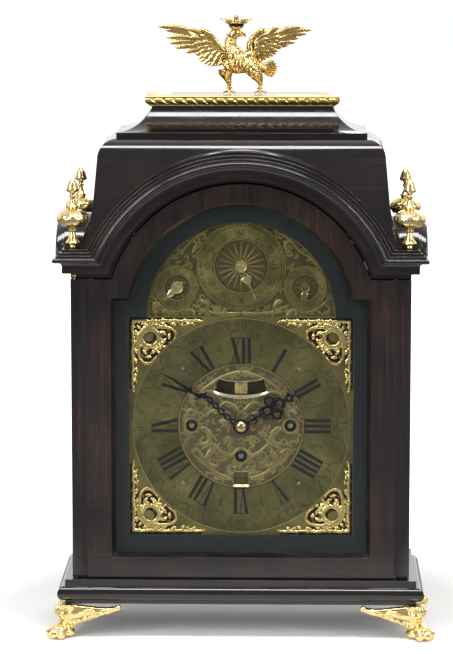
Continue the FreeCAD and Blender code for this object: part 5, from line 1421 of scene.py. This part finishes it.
straps = [([(0, 5.8), (0, 9), (0, 12), (0, 16), (0, 19.5), (0, 22.6)], [1.7, 1.0, 1.5, 1.0, 1.6, 1.0]),
          ([(0, 30.5), (0, 32.5), (0, 34.6)], [1.2, 1.7, 1.2]),
          ([(0, 42.3), (0, 43.6), (0, 45.0)], [1.2, 1.7, 1.2]),
          ([(-2.6, 32.3), (0, 32.5), (2.6, 32.3)], [0.9, 1.4, 0.9]),
          ([(0, 50.8), (0, 53.0), (0, 55.0)], [1.3, 1.1, 0.12])]
for points, widths in paired:
    straps += [([(side * a, b) for a, b in points], widths) for side in (-1, 1)]
hour_sets += [curved_strap(points, widths, back, sheet_thick, at, 3) for points, widths in straps]
hand("sawn_hour_hand", hour_sets, "hour_hand", "hour_work", blued)

at = pointing(304.0)
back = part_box("minute_hand")[1][1] / mm
minute_boss = ((2.6, 0), (5.2, 0), (5.2, 0.6), (4.6, 0.95), (2.6, 0.95), (2.6, 0.0))
minute_sets = [domed(back, minute_boss, at)]
bend_up = (0, 6, 14, 22, 31, 39, 47.5, 58, 71.6, 85.3)
bend_out = (0, 0, 0.8, 1.8, 3.6, 5.0, 1.4, 1.5, 1.3, 0.0)
twist_foot, twist_head = 4.6, 38.6
ups = np.linspace(twist_foot, twist_head, 70)
middle = np.interp(ups, bend_up, bend_out)
for strand in (-1, 1):
    swing = 2.1 * np.sin(math.pi * (ups - twist_foot) / 6.8) * strand * np.minimum(1, (39.5 - ups) / 6)
    minute_sets.append(strap(np.stack([middle + swing, ups], axis=1), [0.95] * 70, back + 0.1 * (strand - 1),
                             0.75, at))
blade_ups = (37.5, 41, 44, 47.5, 52, 58, 65, 71.6, 78, 85.3)
blade = smooth_path([(np.interp(up, bend_up, bend_out), up) for up in blade_ups], 4)
width = np.interp(blade[:, 1], (37.5, 40, 43, 46, 49, 53, 58, 62, 71.6, 85.3),
                  (0.9, 2.3, 2.6, 1.4, 0.9, 1.7, 1.2, 1.5, 0.9, 0.12))
minute_sets.append(strap(blade, width, back, sheet_thick, at))
for points in (((5.2, 40), (7.8, 41.6), (8.4, 44)), ((1.2, 44), (-1.6, 44.8), (-2.6, 47)),
               ((2.2, 53), (4.2, 54), (4.8, 56))):
    minute_sets.append(curved_strap(points, (0.9, 0.15), back, 0.8, at, 4))
hand("sawn_minute_hand", minute_sets, "minute_hand", "minute_work", blued)


# ---------------------------------------------------------------- collet and small hands
# A turned brass collet holds the hands. Three small cast hands, gilt, turn on the arch's dials: a
# long one with a spade and a cross, and two short leaves on round bosses.
collet_metal = old_brass("collet_brass", (0.9, 0.68, 0.3), (0.7, 0.5, 0.18), (0.4, 0.26, 0.1), 0.16)
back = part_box("hand_collet")[1][1] / mm
at = pointing(0)
dome = [(2.0, 0.0), (4.7, 0.0), (4.7, 0.5), (4.2, 1.1), (3.2, 1.9), (2.2, 2.4), (1.5, 2.5), (1.2, 2.1),
        (0.9, 2.1), (0.7, 2.5), (0.05, 2.55)]
hand("turned_collet", [domed(back, dome, at)], "hand_collet", "minute_work", collet_metal)
small_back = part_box("upper_dial_hand")[1][1] / mm
small_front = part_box("upper_dial_hand")[0][1] / mm
arbor_tall = small_back - small_front
arbor = ((0.05, 0), (1.2, 0), (1.2, arbor_tall - 0.3), (0.9, arbor_tall), (0.05, arbor_tall))
hub_back = small_front + 1.6


def small_hand(dial_name, dial, degrees, boss, strokes, metal):
    """A small hand on its arbor, with its boss and the straps that make its blade."""
    place = pointing(degrees, dial[0], dial[1])
    hub = ((1.2, 0), (boss, 0), (boss, 0.6), (boss - 0.5, 1.1), (boss - 1.5, 0.8), (2.6, 0.8), (2.2, 1.2),
           (1.2, 1.2))
    sets = [domed(small_back, arbor, place, 20), domed(hub_back, hub, place)]
    sets += [curved_strap(points, widths, hub_back, 1.0, place, 4) for points, widths in strokes]
    hand("cast_" + dial_name, sets, dial_name + "_dial_hand", dial_name + "_dial_hand_body", metal)


hand_gilt = old_brass("hand_gilt", (0.95, 0.76, 0.4), (0.72, 0.55, 0.22), (0.42, 0.26, 0.1), 0.18)
hand_dark = old_brass("hand_dark", (0.5, 0.36, 0.16), (0.26, 0.18, 0.08), (0.2, 0.1, 0.05), 0.3)
small_hand("upper", upper_ring, 156.0, 5.2,
           (([(0, 4.5), (0, 6.5), (0, 9.0)], [1.3, 0.9, 1.3]),
            ([(-4.2, 7.2), (0, 8.0), (4.2, 7.2)], [0.5, 0.9, 0.5]),
            ([(0, 9.0), (0, 10.8), (0, 13.5), (0, 16.5)], [2.4, 5.0, 3.4, 1.1]),
            ([(0, 16.0), (0, 22.0), (0, 26.5)], [1.1, 0.7, 0.7]),
            ([(0, 26.2), (0, 27.6), (0, 29.0), (0, 33.0)], [0.7, 1.5, 1.0, 0.15])), hand_gilt)
small_hand("left", left_ring, 226.0, 5.4,
           (([(0, 4.5), (0, 7.0), (0, 10.5), (0, 16.2)], [2.6, 3.2, 1.6, 0.2]),
            ([(0, -4.8), (-0.6, -6.4), (-2.0, -7.4)], [1.2, 0.9, 0.3])), hand_gilt)
small_hand("right", right_ring, 185.0, 4.3,
           (([(0, 3.6), (0, 6.0), (0, 10.0), (0, 16.4)], [1.6, 3.4, 2.6, 0.2]),), hand_dark)


# ---------------------------------------------------------------- openings of the dial
# The curved opening shows the mock bob, a flat piece of brass on a wire, against the dark. Its lower
# lip and the frame of the date opening are raised and bright. The date's numbers are on a disc.
bob_metal = old_brass("bob_face", (0.95, 0.74, 0.34), (0.8, 0.6, 0.26), (0.42, 0.28, 0.1), 0.3)


def as_drawn(across, up):
    """Places a point (across, up) as it is."""
    return across, up


bob_low, bob_high = corners("mock_bob")
bob_head = 218.0
bob = strap([(0, bob_low.z + 0.1), (0, bob_head - 6), (0, bob_head)], [5.2, 5.45, 5.2], bob_high.y, 1.15,
            as_drawn)
wire_rod = strap([(0, bob_head - 0.5), (0, bob_head + 32), (0, bob_high.z - 0.1)], [1.0] * 3, bob_high.y, 1.0,
                 as_drawn)
hand("flat_mock_bob", [bob, wire_rod], "mock_bob", "pendulum", bob_metal)


def swung(degrees, reach):
    """The place (x, z) at a reach below the pendulum's pivot, swung to an angle."""
    turn = math.radians(degrees)
    return (reach * math.sin(turn), swing_z - reach * math.cos(turn))


def sill(rows):
    """A lip whose face slopes down to the front, from rows of (upper point, lower point)."""
    rings = []
    for (x0, z0), (x1, z1) in rows:
        rings.append([(x0, plate_face, z0), (x0, plate_face - 0.2, z0), (x1, plate_face - 1.5, z1),
                      (x1, plate_face - 1.5, z1 - 0.2), (x1, plate_face, z1 - 0.4)])
    return lofted(rings)


lips = [sill([(swung(t, slot_high), swung(t, 77.5 + 2.9 * math.cos(math.radians(t * 4.7)) ** 0.5))
              for t in np.linspace(-18.6, 18.6, 41)]),
        sill([((x, date_z - 5.3), (x, date_z - 7.2)) for x in (-6.6, 0, 6.6)]),
        strap([swung(t, slot_low - 0.6) for t in np.linspace(-slot_turn, slot_turn, 31)], [0.6] * 31,
              plate_face, 0.9, as_drawn)]
for x0, z0, x1, z1 in ((-6.9, date_z + 5.9, 6.9, date_z + 5.9), (-6.8, date_z - 6.0, -6.8, date_z + 6.0),
                       (6.8, date_z - 6.0, 6.8, date_z + 6.0)):
    line = [(x0, z0), ((x0 + x1) / 2, (z0 + z1) / 2), (x1, z1)]
    lips.append(strap(line, [0.5] * 3, plate_face, 0.9, as_drawn))
lip = thing("opening_lips", *join(lips))
lip.data.shade_flat()
lip_brass = old_brass("lip_brass", (1.0, 0.9, 0.6), (0.9, 0.75, 0.42), (0.6, 0.42, 0.18), 0.12)
lip.data.materials.append(lip_brass)
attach(lip, "case")
disc_low, disc_high = corners("date_disc")
disc_z = (disc_low.z + disc_high.z) / 2
date_tall, date_foot = 2.7, 15.1
dates = []
for day in range(31):
    dates += number(str(day + 1), date_tall, date_foot, 360 * day / 31, 0.4, 0.0, disc_z, 0.6)
inlay("date_numbers", dates, disc_low.y, wax, 0.05, "date_disc_body")


# ---------------------------------------------------------------- movement
# Two brass plates on five turned pillars, three barrels with steel arbors, the going train up to the
# crown wheel and verge, bells on a post and two steel hammers. Brass is polished, steel is grey, and
# the front plate is painted dark as painted shade, for the shade it lies in behind the dial.
def works(name, axis, reach, along="Y"):
    """Polished brass, with steel within a reach of an axis (mm) for the arbor on the same piece."""
    made, tree, shader = finish(name, Metallic=1.0)
    metal = fill(tree, brass_face, {"Bright": (0.72, 0.52, 0.22, 1), "Olive": (0.5, 0.35, 0.13, 1),
                                    "Brown": (0.34, 0.2, 0.08, 1), "Gloss": 0.2, "Scale": 30.0})
    first, second = axis[0] * mm, axis[1] * mm
    if along == "Y":
        off = off_axis(tree, (first, 0, second))
    else:
        off = off_axis(tree, (first, second, 0), (1, 1, 0))
    steel = calc(tree, "LESS_THAN", off, reach * mm)
    wire(tree, shader.inputs, Base_Color=mixed(tree, steel, metal["Color"], (0.5, 0.5, 0.48, 1)),
         Roughness=metal["Roughness"], Normal=bumped(tree, turning_marks(tree, off, 2400), 0.1, 0.0002))
    return made


contrate_z = 205.2
for name, middle, reach in (
        ("going_barrel", (0, hands_z - barrel_down), 3.2), ("strike_barrel", (-barrel_across, hands_z), 3.2),
        ("quarter_barrel", (barrel_across, hands_z), 3.2), ("centre_wheel", (0, hands_z), 2.6),
        ("contrate_wheel", (0, contrate_z), 2.4), ("minute_wheel", (18, hands_z), 1.8),
        ("hour_wheel", (0, hands_z), 0.0), ("cannon_pinion", (0, hands_z), 9.0)):
    dress(works(name + "_metal", middle, reach), name)
dress(works("crown_wheel_metal", (0, 8.8), 2.2, "Z"), "crown_wheel")
plate_metal = old_brass("movement_brass", (0.62, 0.45, 0.18), (0.46, 0.32, 0.12), (0.3, 0.18, 0.07), 0.24,
                        18.0)
dress(plate_metal, "back_plate", "pillars_and_cocks")
# The front plate's dark brass is painted shade, for the shade behind the dial.
dress(old_brass("shade_darkened_brass", (0.2, 0.15, 0.07), (0.13, 0.095, 0.045), (0.09, 0.06, 0.03), 0.4),
      "front_plate")
dress(old_brass("bell_metal", (0.66, 0.5, 0.28), (0.5, 0.36, 0.18), (0.32, 0.2, 0.1), 0.22, 24.0, 0.0,
                (0, 0.32)), "bells")
dress(old_brass("bob_brass", (0.75, 0.55, 0.22), (0.55, 0.38, 0.14), (0.34, 0.2, 0.08), 0.2, 40.0, 0.0,
                (0, 0.104)), "pendulum_bob")
grey, tree, shader = finish("polished_steel", Metallic=1.0)
place = node(tree, "TexCoord").outputs["Object"]
drawn = noise(tree, 1500, 3, node(tree, "Mapping", {0: place, "Scale": (1, 0.08, 1)}).outputs[0])
wire(tree, shader.inputs, Base_Color=mixed(tree, drawn, (0.32, 0.32, 0.32, 1), (0.55, 0.55, 0.53, 1)),
     Roughness=ranged(tree, drawn, 0.0, 1.0, 0.16, 0.4))
dress(grey, "verge", "pendulum_rod", "strike_hammer", "quarter_hammer")
plate_low, plate_high = corners("back_plate")
arbors = (*holes, (0, hands_z), (0, contrate_z), (-60, 122), (60, 122), (-60, 292), (60, 292), (0, swing_z),
          (-39, 301), (48, 301))
plate_leaves = []
for start, turn, x, z, first, last, wide in (
        (90, -280, 30, 150, 15, 2, 2.0), (200, 280, 48, 215, 14, 2, 2.0), (20, 260, 22, 236, 13, 2, 1.8),
        (150, -280, 46, 258, 12, 2, 1.8), (60, 270, 20, 128, 9, 2, 1.6), (300, -250, 52, 138, 9, 2, 1.5)):
    stroke = curl(x, z, start, turn, first, last, wide, 0.7, 40)
    plate_leaves += [stroke] + leaves(stroke, 4.2, 3, -1 if turn > 0 else 1)
plate_leaves = both_halves(plate_leaves)
plate_leaves += scattered(90, lambda: (chance.uniform(-64, 64), chance.uniform(118, 296)), (2.5, 5.0))


def back_metal(gx, gz):
    """The engraved field of the back plate, clear of the arbors' holes."""
    made = (np.abs(gx) < 67) & (gz > plate_low.z + 3) & (gz < plate_high.z - 3)
    for x, z in arbors:
        made &= np.hypot(gx - x, gz - z) > 7.5
    return made


carved = relief(plate_leaves, -68, 68, plate_low.z + 2, plate_high.z - 2, 0.5)
chased_back = chased_sheet("engraved_back", carved, 0.3, back_metal, -plate_high.y - 0.06, 0.05)
chased_back.data.transform(Matrix.Diagonal((1, -1, 1, 1)))
chased_back.data.flip_normals()
back_brass = old_brass("back_brass", (0.66, 0.48, 0.2), (0.5, 0.35, 0.13), (0.3, 0.18, 0.07), 0.24, 18.0, 0.4,
                       None, (0.24, 0.15, 0.06))
chased_back.data.materials.append(back_brass)
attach(chased_back, "case")
